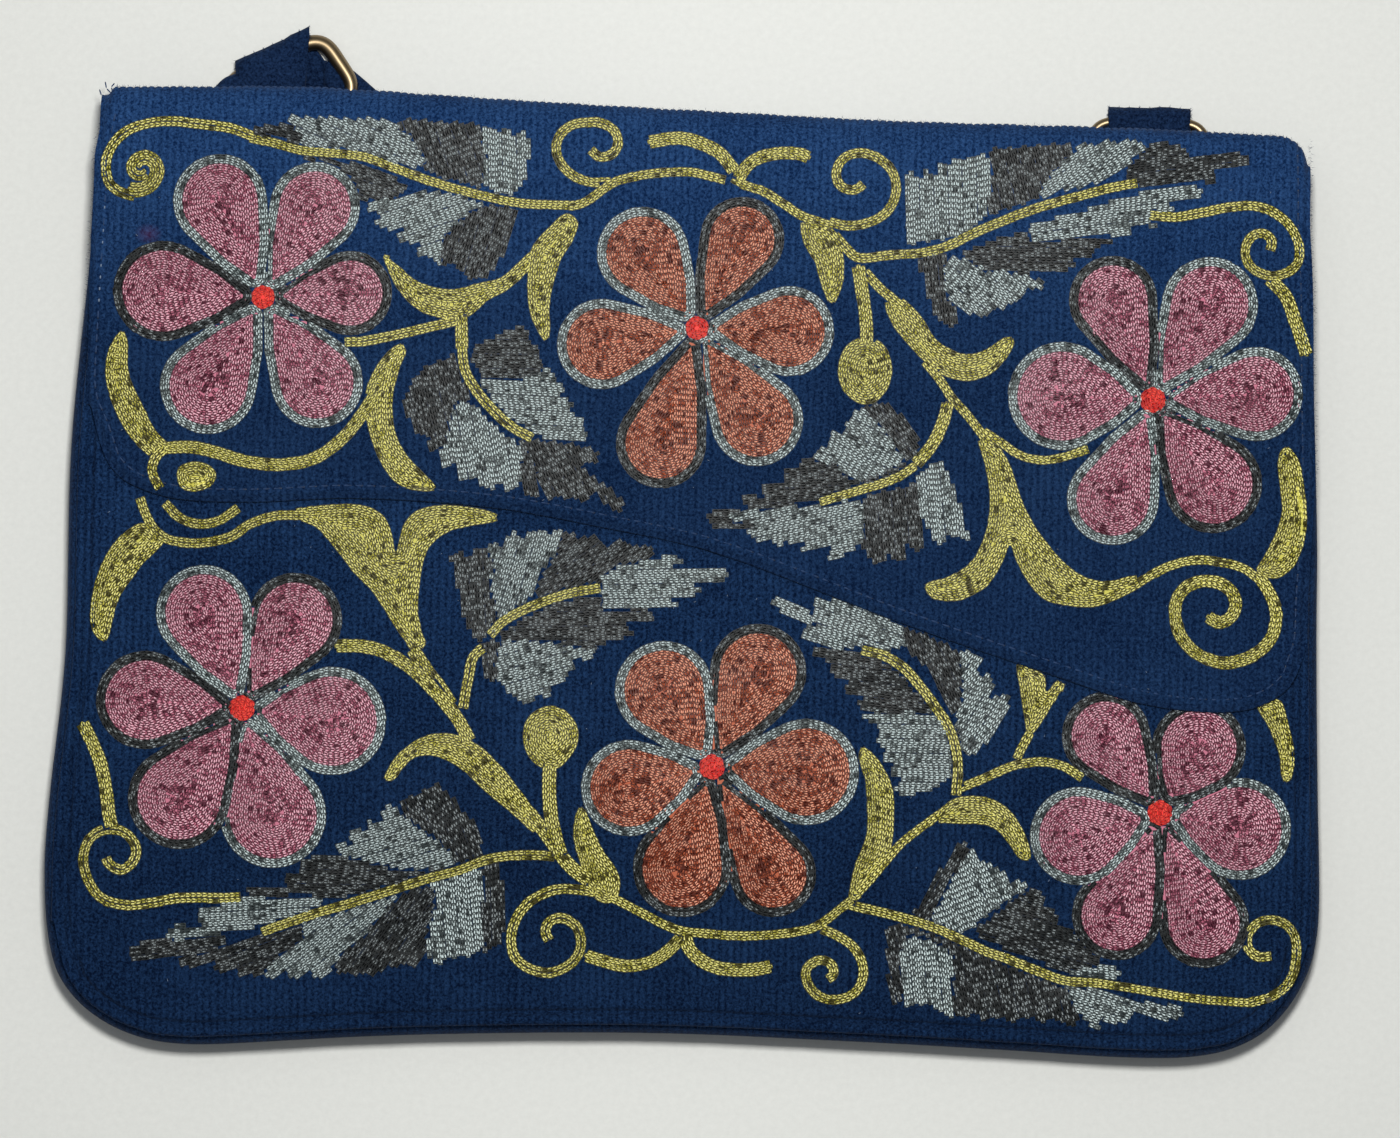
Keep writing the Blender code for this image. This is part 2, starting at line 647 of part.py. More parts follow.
def strap(look):
    """The whole strap as one piece: two legs joined to the cross run."""
    pieces = [strap_leg(end, look) for end in STRAP_ENDS]
    whole = strap_cross(look)
    whole.name = "strap"
    for piece in pieces:
        join = whole.modifiers.new(piece.name, "BOOLEAN")
        join.operation = "UNION"
        join.solver = "EXACT"
        join.object = piece
        piece.hide_render = True
        piece.display_type = "WIRE"
    return whole


def seat_on_floor(pieces):
    """Moves the whole bag so that the middle of its box stands on the origin."""
    bpy.context.view_layer.update()
    graph = bpy.context.evaluated_depsgraph_get()
    corners = []
    for piece in pieces:
        mesh = piece.evaluated_get(graph).to_mesh()
        corners += [vertex.co.copy() for vertex in mesh.vertices]
    low = [min(corner[axis] for corner in corners) for axis in range(3)]
    high = [max(corner[axis] for corner in corners) for axis in range(3)]
    shift = Vector((-(low[0] + high[0]) / 2, -(low[1] + high[1]) / 2, -low[2]))
    for item in bpy.data.objects:
        item.location += shift


def build():
    clear_scene()
    cord = material("corduroy", (0.020, 0.042, 0.130), 0.92)
    strap_cloth = material("strap_corduroy", (0.018, 0.036, 0.110), 0.92)
    brass = material("aged_brass", (0.33, 0.25, 0.15), 0.38, 1.0)
    pieces = [back_panel(cord), gusset(cord), front_panel(cord), flap(cord), strap(strap_cloth)]
    for end in STRAP_ENDS:
        pieces.append(ring(end, brass))
        pieces.append(tab(end, strap_cloth))
    seat_on_floor(pieces)


build()
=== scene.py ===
"""Looks of a corduroy flap bag: ribbed cloth, chain-stitch flowers and leaves, wire rings.

The bag lies on its back. X runs across it, Y up to its top fold and Z up from the floor.
Lengths are in metres. The embroidery chart has its own steps of a quarter of a millimetre,
counted right and down from the chart's top left corner, and it is turned a little against
the bag.
"""
import math
import random

import bmesh
import bpy
import numpy as np
from mathutils import Matrix, Vector
from mathutils.bvhtree import BVHTree


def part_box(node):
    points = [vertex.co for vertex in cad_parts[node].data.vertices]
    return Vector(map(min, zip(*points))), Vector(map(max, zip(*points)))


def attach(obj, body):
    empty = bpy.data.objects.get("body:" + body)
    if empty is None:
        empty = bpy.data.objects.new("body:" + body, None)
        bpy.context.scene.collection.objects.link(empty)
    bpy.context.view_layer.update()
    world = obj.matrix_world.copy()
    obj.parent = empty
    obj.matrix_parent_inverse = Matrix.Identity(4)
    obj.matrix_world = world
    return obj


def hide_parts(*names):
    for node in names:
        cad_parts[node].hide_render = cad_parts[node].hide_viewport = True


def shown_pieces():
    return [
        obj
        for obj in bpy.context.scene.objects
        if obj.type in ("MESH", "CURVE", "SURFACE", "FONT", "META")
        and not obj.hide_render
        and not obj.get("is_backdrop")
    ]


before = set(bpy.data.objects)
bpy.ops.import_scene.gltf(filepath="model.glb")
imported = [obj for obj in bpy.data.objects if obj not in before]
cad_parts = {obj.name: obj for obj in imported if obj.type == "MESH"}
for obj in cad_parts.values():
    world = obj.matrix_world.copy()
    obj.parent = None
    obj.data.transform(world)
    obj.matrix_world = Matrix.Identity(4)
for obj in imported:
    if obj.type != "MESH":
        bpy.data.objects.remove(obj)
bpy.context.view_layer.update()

MM = 0.001
RIB_PITCH = 0.00181
RIB_DEPTH = 0.00032
COLUMNS_PER_RIB = 4
FLAP_ROWS = 72
PANEL_ROWS = 74
SEAM_ROWS = 18
HIDDEN_ROWS = 10
BEND_ROWS = 14
FOLD_REACH = 0.0085
FLAP_CLOTH = 0.0022
PANEL_CLOTH = 0.0018

CHART_STEP = 0.00025
CHART_TURN = math.radians(1.5)
CHART_MIDDLE = (690.0, 569.0)
CHART_RISE = -0.00575
CHART_LEVEL = 0.0140
EYE_HEIGHT = 2.400
LENS = 246.8
PICTURE_MIDDLE = (700.0, 569.0)

ROW_PITCH = 4.6
STITCH_LENGTH = 5.5
FINGER_ROWS = 3
FINGER_GAP = 0.6
FINGER_TRIM = 2.4

rng = np.random.default_rng(7)
random.seed(7)


def chart_plane(points):
    """Chart places as X and Y on the level that the chart was drawn at."""
    points = np.asarray(points, float)
    right = points[..., 0] - CHART_MIDDLE[0]
    up = CHART_MIDDLE[1] - points[..., 1]
    c, s = math.cos(CHART_TURN), math.sin(CHART_TURN)
    x = (right * c - up * s) * CHART_STEP
    y = (right * s + up * c) * CHART_STEP + CHART_RISE
    return x, y


EYE_X, EYE_Y = (float(value) for value in chart_plane(PICTURE_MIDDLE))
EYE_Z = CHART_LEVEL + EYE_HEIGHT


def tree_of(node):
    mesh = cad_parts[node].data
    return BVHTree.FromPolygons([v.co.copy() for v in mesh.vertices],
                                [tuple(p.vertices) for p in mesh.polygons])


TREES = {name: tree_of(name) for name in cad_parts}
DOWN = Vector((0, 0, -1))
UP = Vector((0, 0, 1))


def top_of(node, x, y):
    hit = TREES[node].ray_cast(Vector((x, y, 1)), DOWN)[0]
    return None if hit is None else hit.z


def foot_of(node, x, y):
    hit = TREES[node].ray_cast(Vector((x, y, -1)), UP)[0]
    return None if hit is None else hit.z


def last_hit(node, inside, outside, rounds=13):
    """The edge of a node seen from above, between a point inside it and one outside."""
    a, b = np.array(inside, float), np.array(outside, float)
    for _ in range(rounds):
        middle = (a + b) / 2
        if top_of(node, *middle) is None:
            b = middle
        else:
            a = middle
    return a


def soft(values, passes):
    """A line of values, evened out with its ends kept."""
    values = np.array(values, float)
    for _ in range(passes):
        values[1:-1] = (values[:-2] + 2 * values[1:-1] + values[2:]) / 4
    return values


def height_field(node, probe, keep, step=0.002, passes=8):
    """A smooth height over a node's box. Cells outside keep are grown from their neighbours."""
    low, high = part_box(node)
    xs = np.arange(low.x - 2 * step, high.x + 3 * step, step)
    ys = np.arange(low.y - 2 * step, high.y + 3 * step, step)
    grid = np.full((len(ys), len(xs)), np.nan)
    for j, y in enumerate(ys):
        for i, x in enumerate(xs):
            if keep(x, y):
                z = probe(node, x, y)
                if z is not None:
                    grid[j, i] = z
    known = ~np.isnan(grid)
    grid = np.where(known, grid, 0.0)
    while not known.all():
        total = np.zeros_like(grid)
        count = np.zeros_like(grid)
        for dj, di in ((0, 1), (0, -1), (1, 0), (-1, 0)):
            k = np.roll(known, (dj, di), (0, 1)).astype(float)
            total += np.roll(grid, (dj, di), (0, 1)) * k
            count += k
        new = ~known & (count > 0)
        grid[new] = total[new] / count[new]
        known |= new
    for _ in range(passes):
        wide = np.pad(grid, 1, mode="edge")
        grid = (wide[1:-1, 1:-1] * 4 + wide[:-2, 1:-1] + wide[2:, 1:-1]
                + wide[1:-1, :-2] + wide[1:-1, 2:]) / 8
    return xs[0], ys[0], step, grid


def height_at(field, x, y):
    x0, y0, step, grid = field
    u = np.clip((np.asarray(x) - x0) / step, 0, grid.shape[1] - 1.001)
    v = np.clip((np.asarray(y) - y0) / step, 0, grid.shape[0] - 1.001)
    i, j = u.astype(int), v.astype(int)
    u, v = u - i, v - j
    return (grid[j, i] * (1 - u) * (1 - v) + grid[j, i + 1] * u * (1 - v)
            + grid[j + 1, i] * (1 - u) * v + grid[j + 1, i + 1] * u * v)


def edge_lines(node, middle, y_from, y_to, count=64):
    """The left and right edges of a node, as X at a row of heights."""
    low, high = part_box(node)
    ys = np.linspace(y_from, y_to, count)
    left = [last_hit(node, (middle, y), (low.x - 0.002, y))[0] for y in ys]
    right = [last_hit(node, (middle, y), (high.x + 0.002, y))[0] for y in ys]
    return ys, soft(left, 4), soft(right, 4)


def end_line(node, middle, outside, step=0.0012):
    """Where a node ends above or below its middle, at the Xs that the middle line covers."""
    low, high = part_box(node)
    left = last_hit(node, (0.0, middle), (low.x - 0.002, middle))[0] + 0.0006
    right = last_hit(node, (0.0, middle), (high.x + 0.002, middle))[0] - 0.0006
    xs = np.linspace(left, right, int((right - left) / step))
    return xs, soft([last_hit(node, (x, middle), (x, outside))[1] for x in xs], 3)


def away_from(line, x, y):
    """How far each place lies from an open line of points."""
    a, b = line[:-1], line[1:]
    d = b - a
    size = np.maximum((d * d).sum(1), 1e-12)
    flat = np.stack([np.ravel(x), np.ravel(y)], 1)
    out = np.empty(len(flat))
    for start in range(0, len(flat), 4000):
        p = flat[start:start + 4000]
        t = ((p[:, None] - a[None]) * d[None]).sum(2) / size
        q = a[None] + np.clip(t, 0, 1)[..., None] * d[None]
        out[start:start + 4000] = np.sqrt(((p[:, None] - q) ** 2).sum(2)).min(1)
    return out.reshape(np.shape(x))


def wave_noise(x, y, size, seed, octaves=3):
    """Soft noise from a few crossing waves, about -1 to 1."""
    local = np.random.default_rng(seed)
    total = np.zeros_like(np.asarray(x, float) + np.asarray(y, float))
    weight = 0.0
    for octave in range(octaves):
        scale = size / 1.9 ** octave
        for _ in range(5):
            angle = local.uniform(0, math.tau)
            phase = local.uniform(0, math.tau)
            k = math.tau / (scale * local.uniform(0.8, 1.5))
            total += np.sin((x * math.cos(angle) + y * math.sin(angle)) * k + phase) / 1.6 ** octave
        weight += 2.2 / 1.6 ** octave
    return total / weight


def rib(x):
    """The corduroy's ribs: round tops and narrow grooves."""
    return RIB_DEPTH * np.abs(np.cos(math.pi * np.asarray(x) / RIB_PITCH)) ** 0.6


def smooth(t):
    t = np.clip(t, 0, 1)
    return t * t * (3 - 2 * t)


# Materials

def node_material(name, colour, roughness, metallic=0.0, sheen=0.0, sheen_tint=(1, 1, 1), shine=0.06):
    made = bpy.data.materials.new(name)
    made.use_nodes = True
    shader = made.node_tree.nodes["Principled BSDF"]
    shader.inputs["Base Color"].default_value = (*colour, 1)
    shader.inputs["Roughness"].default_value = roughness
    shader.inputs["Metallic"].default_value = metallic
    shader.inputs["Sheen Weight"].default_value = sheen
    shader.inputs["Sheen Roughness"].default_value = 0.45
    shader.inputs["Sheen Tint"].default_value = (*sheen_tint, 1)
    shader.inputs["Specular IOR Level"].default_value = shine
    return made


def add_node(tree, kind, **inputs):
    node = tree.nodes.new(kind)
    for key, value in inputs.items():
        node.inputs[key.replace("_", " ")].default_value = value
    return node


def cord_material(name, low, high, along="X", painted_light_by_y=None, rib_bump=0.0, groove_shade_floor=0.15,
                  stain=None, sheen=0.05):
    """Corduroy: painted shade in the grooves, worn patches and a fine pile, and painted light that brightens the
    colour over a range of Y.
    """
    made = node_material(name, high, 0.95, sheen=sheen, sheen_tint=(0.55, 0.70, 1.0))
    tree = made.node_tree
    link = tree.links.new
    shader = tree.nodes["Principled BSDF"]
    where = tree.nodes.new("ShaderNodeTexCoord")
    split = tree.nodes.new("ShaderNodeSeparateXYZ")
    link(where.outputs["Object"], split.inputs[0])
    turn = add_node(tree, "ShaderNodeMath")
    turn.operation = "MULTIPLY"
    turn.inputs[1].default_value = math.tau / RIB_PITCH
    link(split.outputs[along], turn.inputs[0])
    wave = add_node(tree, "ShaderNodeMath")
    wave.operation = "COSINE"
    link(turn.outputs[0], wave.inputs[0])
    # Painted shade: the colour darkens in each groove between the ribs.
    groove_shade = tree.nodes.new("ShaderNodeMapRange")
    groove_shade.inputs["From Min"].default_value = -1.0
    groove_shade.inputs["From Max"].default_value = 0.6
    groove_shade.inputs["To Min"].default_value = groove_shade_floor
    groove_shade.inputs["To Max"].default_value = 1.0
    link(wave.outputs[0], groove_shade.inputs["Value"])
    worn = add_node(tree, "ShaderNodeTexNoise", Scale=38.0, Detail=3.0, Roughness=0.6)
    link(where.outputs["Object"], worn.inputs["Vector"])
    pile = add_node(tree, "ShaderNodeTexNoise", Scale=1500.0, Detail=2.0, Roughness=0.75)
    link(where.outputs["Object"], pile.inputs["Vector"])
    total = add_node(tree, "ShaderNodeMath")
    total.operation = "MULTIPLY_ADD"
    link(worn.outputs["Fac"], total.inputs[0])
    total.inputs[1].default_value = 0.9
    total.inputs[2].default_value = -0.15
    # Worn patches times the painted groove shade.
    mix = add_node(tree, "ShaderNodeMath")
    mix.operation = "MULTIPLY"
    link(total.outputs[0], mix.inputs[0])
    link(groove_shade.outputs["Result"], mix.inputs[1])
    grain = add_node(tree, "ShaderNodeMath")
    grain.operation = "MULTIPLY_ADD"
    link(pile.outputs["Fac"], grain.inputs[0])
    grain.inputs[1].default_value = 2.6
    grain.inputs[2].default_value = -1.12
    both = add_node(tree, "ShaderNodeMath")
    both.operation = "ADD"
    both.use_clamp = True
    link(mix.outputs[0], both.inputs[0])
    link(grain.outputs[0], both.inputs[1])
    ramp = tree.nodes.new("ShaderNodeMix")
    ramp.data_type = "RGBA"
    ramp.inputs["A"].default_value = (*low, 1)
    ramp.inputs["B"].default_value = (*high, 1)
    link(both.outputs[0], ramp.inputs["Factor"])
    colour = ramp.outputs["Result"]
    # Painted light: the colour is scaled up smoothly over a range of Y, standing for the light that falls on the
    # upper cloth.
    if painted_light_by_y:
        sides = tree.nodes.new("ShaderNodeSeparateXYZ")
        link(where.outputs["Object"], sides.inputs[0])
        painted_light_span = tree.nodes.new("ShaderNodeMapRange")
        painted_light_span.interpolation_type = "SMOOTHSTEP"
        for key, value in zip(("From Min", "From Max", "To Min", "To Max"), painted_light_by_y):
            painted_light_span.inputs[key].default_value = value
        link(sides.outputs["Y"], painted_light_span.inputs["Value"])
        gain = tree.nodes.new("ShaderNodeVectorMath")
        gain.operation = "SCALE"
        link(colour, gain.inputs[0])
        link(painted_light_span.outputs["Result"], gain.inputs["Scale"])
        colour = gain.outputs[0]
    if stain:
        spot = tree.nodes.new("ShaderNodeVectorMath")
        spot.operation = "DISTANCE"
        flat = add_node(tree, "ShaderNodeVectorMath")
        flat.operation = "MULTIPLY"
        flat.inputs[1].default_value = (1, 1.3, 0)
        link(where.outputs["Object"], flat.inputs[0])
        link(flat.outputs[0], spot.inputs[0])
        spot.inputs[1].default_value = (stain[0], stain[1] * 1.3, 0)
        fade = tree.nodes.new("ShaderNodeMapRange")
        for key, value in zip(("From Min", "From Max", "To Min", "To Max"), (0.0004, 0.0036, 0.15, 0.0)):
            fade.inputs[key].default_value = value
        link(spot.outputs["Value"], fade.inputs["Value"])
        dye = tree.nodes.new("ShaderNodeMix")
        dye.data_type = "RGBA"
        dye.inputs["B"].default_value = (0.20, 0.035, 0.075, 1)
        link(colour, dye.inputs["A"])
        link(fade.outputs["Result"], dye.inputs["Factor"])
        colour = dye.outputs["Result"]
    link(colour, shader.inputs["Base Color"])
    height = add_node(tree, "ShaderNodeMath")
    height.operation = "MULTIPLY_ADD"
    link(wave.outputs[0], height.inputs[0])
    height.inputs[1].default_value = rib_bump
    link(pile.outputs["Fac"], height.inputs[2])
    bump = add_node(tree, "ShaderNodeBump", Strength=0.6, Distance=0.00030)
    link(height.outputs[0], bump.inputs["Height"])
    link(bump.outputs["Normal"], shader.inputs["Normal"])
    return made


# Painted light: the flap's colour brightens toward its top fold and the panel's toward its top, where the light
# falls on the cloth.
FLAP_CORD = cord_material("flap_corduroy", (0.0008, 0.0070, 0.0300), (0.0142, 0.0425, 0.1160),
                          painted_light_by_y=(0.030, 0.112, 1.04, 1.95), stain=(-0.1371, 0.0742),
                          groove_shade_floor=0.42)
# The panel's colours are a darker copy of the flap's: painted shade for the panel, which slopes away from the
# light.
PANEL_CORD = cord_material("panel_corduroy", (0.0004, 0.0045, 0.0200), (0.0115, 0.0370, 0.1040),
                           painted_light_by_y=(-0.120, 0.060, 0.98, 1.36), groove_shade_floor=0.36)
BACK_CORD = cord_material("back_corduroy", (0.0015, 0.0060, 0.0230), (0.0130, 0.0330, 0.0880), rib_bump=0.8)
BAND_CORD = cord_material("band_corduroy", (0.0008, 0.0050, 0.0210), (0.0125, 0.0330, 0.0920),
                          along="Y", rib_bump=0.12, groove_shade_floor=0.75)
BRASS = node_material("aged_brass", (0.26, 0.195, 0.115), 0.38, metallic=1.0, shine=0.5)
NAVY_THREAD = node_material("navy_thread", (0.030, 0.060, 0.140), 0.8, sheen=0.2)
PALE_THREAD = node_material("pale_thread", (0.20, 0.26, 0.36), 0.9)
FUZZ = node_material("pile_fuzz", (0.012, 0.034, 0.095), 0.95)

# Thread colours: name, light, middle and dark tone, and the share of the light and dark tones. The tones stand
# partly for two-tone thread and partly for a painted highlight (light) and painted shade (dark) on the chain's
# legs.
THREADS = {
    "green": [(1.000, 0.950, 0.340), (0.600, 0.560, 0.100), (0.050, 0.045, 0.004)],
    "silver": [(0.760, 0.890, 0.890), (0.280, 0.335, 0.335), (0.026, 0.036, 0.038)],
    "black": [(0.300, 0.340, 0.350), (0.045, 0.053, 0.056), (0.005, 0.007, 0.008)],
    "pink": [(1.000, 0.580, 0.680), (0.550, 0.170, 0.250), (0.080, 0.010, 0.026)],
    "peach": [(1.000, 0.480, 0.320), (0.480, 0.115, 0.050), (0.085, 0.010, 0.002)],
    "red": [(1.000, 0.110, 0.070), (0.930, 0.035, 0.025), (0.400, 0.008, 0.007)],
}
TONE_SHARES = {
    "green": (0.66, 0.24), "silver": (0.68, 0.22), "black": (0.38, 0.26),
    "pink": (0.68, 0.24), "peach": (0.60, 0.28), "red": (0.60, 0.30),
}
THREAD_LOOKS = {name: [node_material(f"thread_{name}_{tone}", colour, 0.48, shine=0.22)
                       for tone, colour in zip(("light", "middle", "dark"), tones)]
                for name, tones in THREADS.items()}


# Meshes

def mesh_piece(name, points, faces, looks, indices=None, smooth_shaded=True):
    """One mesh of the bag from arrays, riding on its only body."""
    mesh = bpy.data.meshes.new(name)
    points = np.asarray(points, np.float32).reshape(-1, 3)
    faces = [np.asarray(block, np.int32) for block in faces if len(block)]
    sizes = np.concatenate([np.full(len(block), block.shape[1], np.int32) for block in faces])
    corners = np.concatenate([block.ravel() for block in faces])
    mesh.vertices.add(len(points))
    mesh.vertices.foreach_set("co", points.ravel())
    mesh.loops.add(len(corners))
    mesh.loops.foreach_set("vertex_index", corners)
    mesh.polygons.add(len(sizes))
    starts = np.concatenate([[0], np.cumsum(sizes)[:-1]]).astype(np.int32)
    mesh.polygons.foreach_set("loop_start", starts)
    mesh.polygons.foreach_set("loop_total", sizes)
    for look in looks:
        mesh.materials.append(look)
    if indices is not None:
        mesh.polygons.foreach_set("material_index", np.asarray(indices, np.int32))
    mesh.polygons.foreach_set("use_smooth", np.full(len(sizes), smooth_shaded))
    mesh.update(calc_edges=True)
    mesh.validate()
    piece = bpy.data.objects.new(name, mesh)
    bpy.context.scene.collection.objects.link(piece)
    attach(piece, "root")
    return piece


def grid_faces(rows, columns, start=0, flip=False):
    index = np.arange(rows * columns).reshape(rows, columns) + start
    quads = np.stack([index[:-1, :-1], index[:-1, 1:], index[1:, 1:], index[1:, :-1]], -1)
    quads = quads.reshape(-1, 4)
    return quads[:, ::-1] if flip else quads


def without_slivers(points, quads):
    """The quads that have an area, so that clamped columns leave nothing behind."""
    p = points[quads]
    area = np.linalg.norm(np.cross(p[:, 2] - p[:, 0], p[:, 3] - p[:, 1]), axis=1)
    return quads[area > 1e-10]


# Flap: its edges and its height, read from the frame

FLAP_LOW, FLAP_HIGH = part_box("flap")
flap_xs, flap_end = end_line("flap", 0.055, FLAP_LOW.y - 0.004)
fold_xs, flap_fold = end_line("flap", 0.1015, FLAP_HIGH.y + 0.004)
LEFT_YS, flap_left, _ = edge_lines("flap", 0.0, 0.030, 0.094)
RIGHT_YS, _, flap_right = edge_lines("flap", 0.1, -0.010, 0.092)
LEFT_OVER = 0.0012
RIGHT_TRIM = (0.0021, 0.0010, 0.0013)
LEFT_CORNER = 0.0022
RIGHT_CORNER = 0.0075


def flap_sides(y):
    """The flap's sides at a height. Above the rays they run on in toward the top corners."""
    y = np.asarray(y, float)
    left = np.interp(y, LEFT_YS, flap_left) + np.maximum(0, y - LEFT_YS[-1]) * 0.19 - LEFT_OVER
    right = np.interp(y, RIGHT_YS, flap_right) - np.maximum(0, y - RIGHT_YS[-1]) * 0.05
    right = right - np.interp(y, (-0.010, 0.020, 0.050), RIGHT_TRIM)
    return left, right


FOLD_TRUST = (fold_xs > -0.132) & (fold_xs < 0.128)
LEFT_SLOPE = np.polyfit(fold_xs[FOLD_TRUST][:14], flap_fold[FOLD_TRUST][:14], 1)
RIGHT_SLOPE = np.polyfit(fold_xs[FOLD_TRUST][-14:], flap_fold[FOLD_TRUST][-14:], 1)


def fold_at(x):
    """The top fold's Y at each X, straight out to the corners and rounded there."""
    x = np.asarray(x, float)
    y = np.interp(x, fold_xs[FOLD_TRUST], flap_fold[FOLD_TRUST])
    y = np.where(x < -0.132, np.polyval(LEFT_SLOPE, x), y)
    y = np.where(x > 0.128, np.polyval(RIGHT_SLOPE, x), y)
    left, right = flap_sides(y)
    for gap, size in ((x - left, LEFT_CORNER), (right - x, RIGHT_CORNER)):
        into = np.clip(1 - gap / size, 0, 1)
        y = y - size * (1 - np.sqrt(1 - np.minimum(into, 0.999) ** 2))
    return y


FLAP_FIELD = height_field(
    "flap", top_of, lambda x, y: y < np.interp(x, fold_xs, flap_fold) - FOLD_REACH - 0.001)


def flap_edge_line():
    """The flap's free edge, from the left top down, along the end and up the right."""
    left_y = np.linspace(0.105, flap_end[0], 40)
    right_y = np.linspace(flap_end[-1], 0.105, 60)
    line = [(flap_sides(y)[0], y) for y in left_y]
    line += list(zip(flap_xs[1:-1:3], flap_end[1:-1:3]))
    line += [(flap_sides(y)[1], y) for y in right_y]
    return np.array(line)


FLAP_EDGE = flap_edge_line()

# Front panel

PANEL_LOW, PANEL_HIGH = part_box("front_panel")
PANEL_MIDDLE = -0.090
panel_xs, panel_end = end_line("front_panel", PANEL_MIDDLE, PANEL_LOW.y - 0.004)
PANEL_FIELD = height_field("front_panel", top_of, lambda x, y: True, passes=5)
PANEL_YS, panel_left, panel_right = edge_lines("front_panel", 0.0, PANEL_MIDDLE, PANEL_HIGH.y - 0.0005)


def panel_sides(y):
    return np.interp(y, PANEL_YS, panel_left), np.interp(y, PANEL_YS, panel_right)


def panel_edge_line():
    left_y = np.linspace(PANEL_HIGH.y, PANEL_MIDDLE, 80)
    line = [(panel_sides(y)[0], y) for y in left_y]
    line += list(zip(panel_xs[1:-1:3], panel_end[1:-1:3]))
    line += [(panel_sides(y)[1], y) for y in left_y[::-1]]
    return np.array(line)


PANEL_EDGE = panel_edge_line()
PANEL_RIDGE = 0.0010


def panel_height(x, y):
    """The front panel's cloth: the frame's height with the pressed seam along its edge."""
    away = away_from(PANEL_EDGE, x, y)
    ridge = 0.00080 * np.exp(-((away - PANEL_RIDGE) / 0.0010) ** 2)
    ditch = -0.00125 * np.exp(-((away - PANEL_RIDGE - 0.0021) / 0.0006) ** 2)
    return height_at(PANEL_FIELD, x, y) + ridge + ditch + 0.00018 * wave_noise(x, y, 0.022, 5)


def flap_height(x, y):
    """The flap's cloth: the frame's height, rolled at the edge, with the topstitched ditch."""
    away = away_from(FLAP_EDGE, x, y)
    roll = -0.0011 * (1 - smooth(away / 0.0024))
    ditch = -0.00028 * np.exp(-((away - 0.0031) / 0.0005) ** 2)
    return height_at(FLAP_FIELD, x, y) + roll + ditch + 0.00016 * wave_noise(x, y, 0.026, 9)


def rib_columns(low, high):
    first = math.ceil(low / RIB_PITCH * COLUMNS_PER_RIB)
    last = math.floor(high / RIB_PITCH * COLUMNS_PER_RIB)
    inner = np.arange(first, last + 1) * RIB_PITCH / COLUMNS_PER_RIB
    return np.concatenate([[low], inner, [high]])


def flap_cloth():
    xs = rib_columns(FLAP_LOW.x, FLAP_HIGH.x)
    inside = np.clip(xs, flap_xs[0], flap_xs[-1])
    end = np.interp(inside, flap_xs, flap_end)
    crest = fold_at(xs) - FOLD_REACH
    rows = []
    # the back part, from the seam up to the fold
    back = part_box("back_panel")[1].y
    left, right = flap_sides(crest)
    bend_x = np.clip(xs, left, right)
    crest = fold_at(bend_x) - FOLD_REACH
    low = np.array([foot_of("flap", float(np.clip(x, left[0] + 0.001, right[-1] - 0.001)), float(y)) or 0.0075
                    for x, y in zip(bend_x, crest)])
    low = soft(low, 30)
    for share in (0.0, 0.35, 0.7):
        y = back + (crest - back) * share
        foot = np.array([foot_of("flap", float(np.clip(x, left[0] + 0.001, right[-1] - 0.001)), float(v)) or 0.0075
                         for x, v in zip(bend_x, y)])
        rows.append(np.stack([bend_x, y, soft(foot, 20) - 0.0001 * rib(bend_x) / RIB_DEPTH], 1))
    high = flap_height(bend_x, crest)
    for angle in np.linspace(-math.pi / 2, math.pi / 2, BEND_ROWS + 1)[:-1]:
        lift = rib(bend_x) + 0.00012 * wave_noise(bend_x, np.full_like(bend_x, angle * 0.01), 0.012, 3)
        y = crest + (FOLD_REACH + lift) * math.cos(angle)
        z = (low + high) / 2 + ((high - low) / 2 + lift * max(0.0, math.sin(angle))) * math.sin(angle)
        rows.append(np.stack([bend_x, y, z], 1))
    for t in 1 - (1 - np.linspace(0, 1, FLAP_ROWS + 1)) ** 1.35:
        y = crest + (end - crest) * t
        left, right = flap_sides(y)
        x = np.clip(xs, left, right)
        rows.append(np.stack([x, y, flap_height(x, y) + rib(x)], 1))
    edge = rows[-1]
    rows.append(edge + (0, -0.00015, -0.0007))
    rows.append(edge + (0, 0.0001, -0.0013))
    rows.append(edge + (0, 0.0012, -0.0015))
    grid = np.array(rows)
    # the same turn under at both sides
    for column, sign in ((0, 1), (-1, -1)):
        side = grid[:, column]
        under = [side + (sign * 0.0001, 0, -0.0007), side + (sign * 0.0004, 0, -0.0013),
                 side + (sign * 0.0014, 0, -0.0015)]
        under = np.stack(under, 1)
        grid = np.concatenate([under[:, ::-1], grid], 1) if column == 0 else np.concatenate([grid, under], 1)
    rows_count, columns = grid.shape[:2]
    points = grid.reshape(-1, 3)
    quads = without_slivers(points, grid_faces(rows_count, columns))
    return mesh_piece("flap_cloth", points, [quads], [FLAP_CORD])


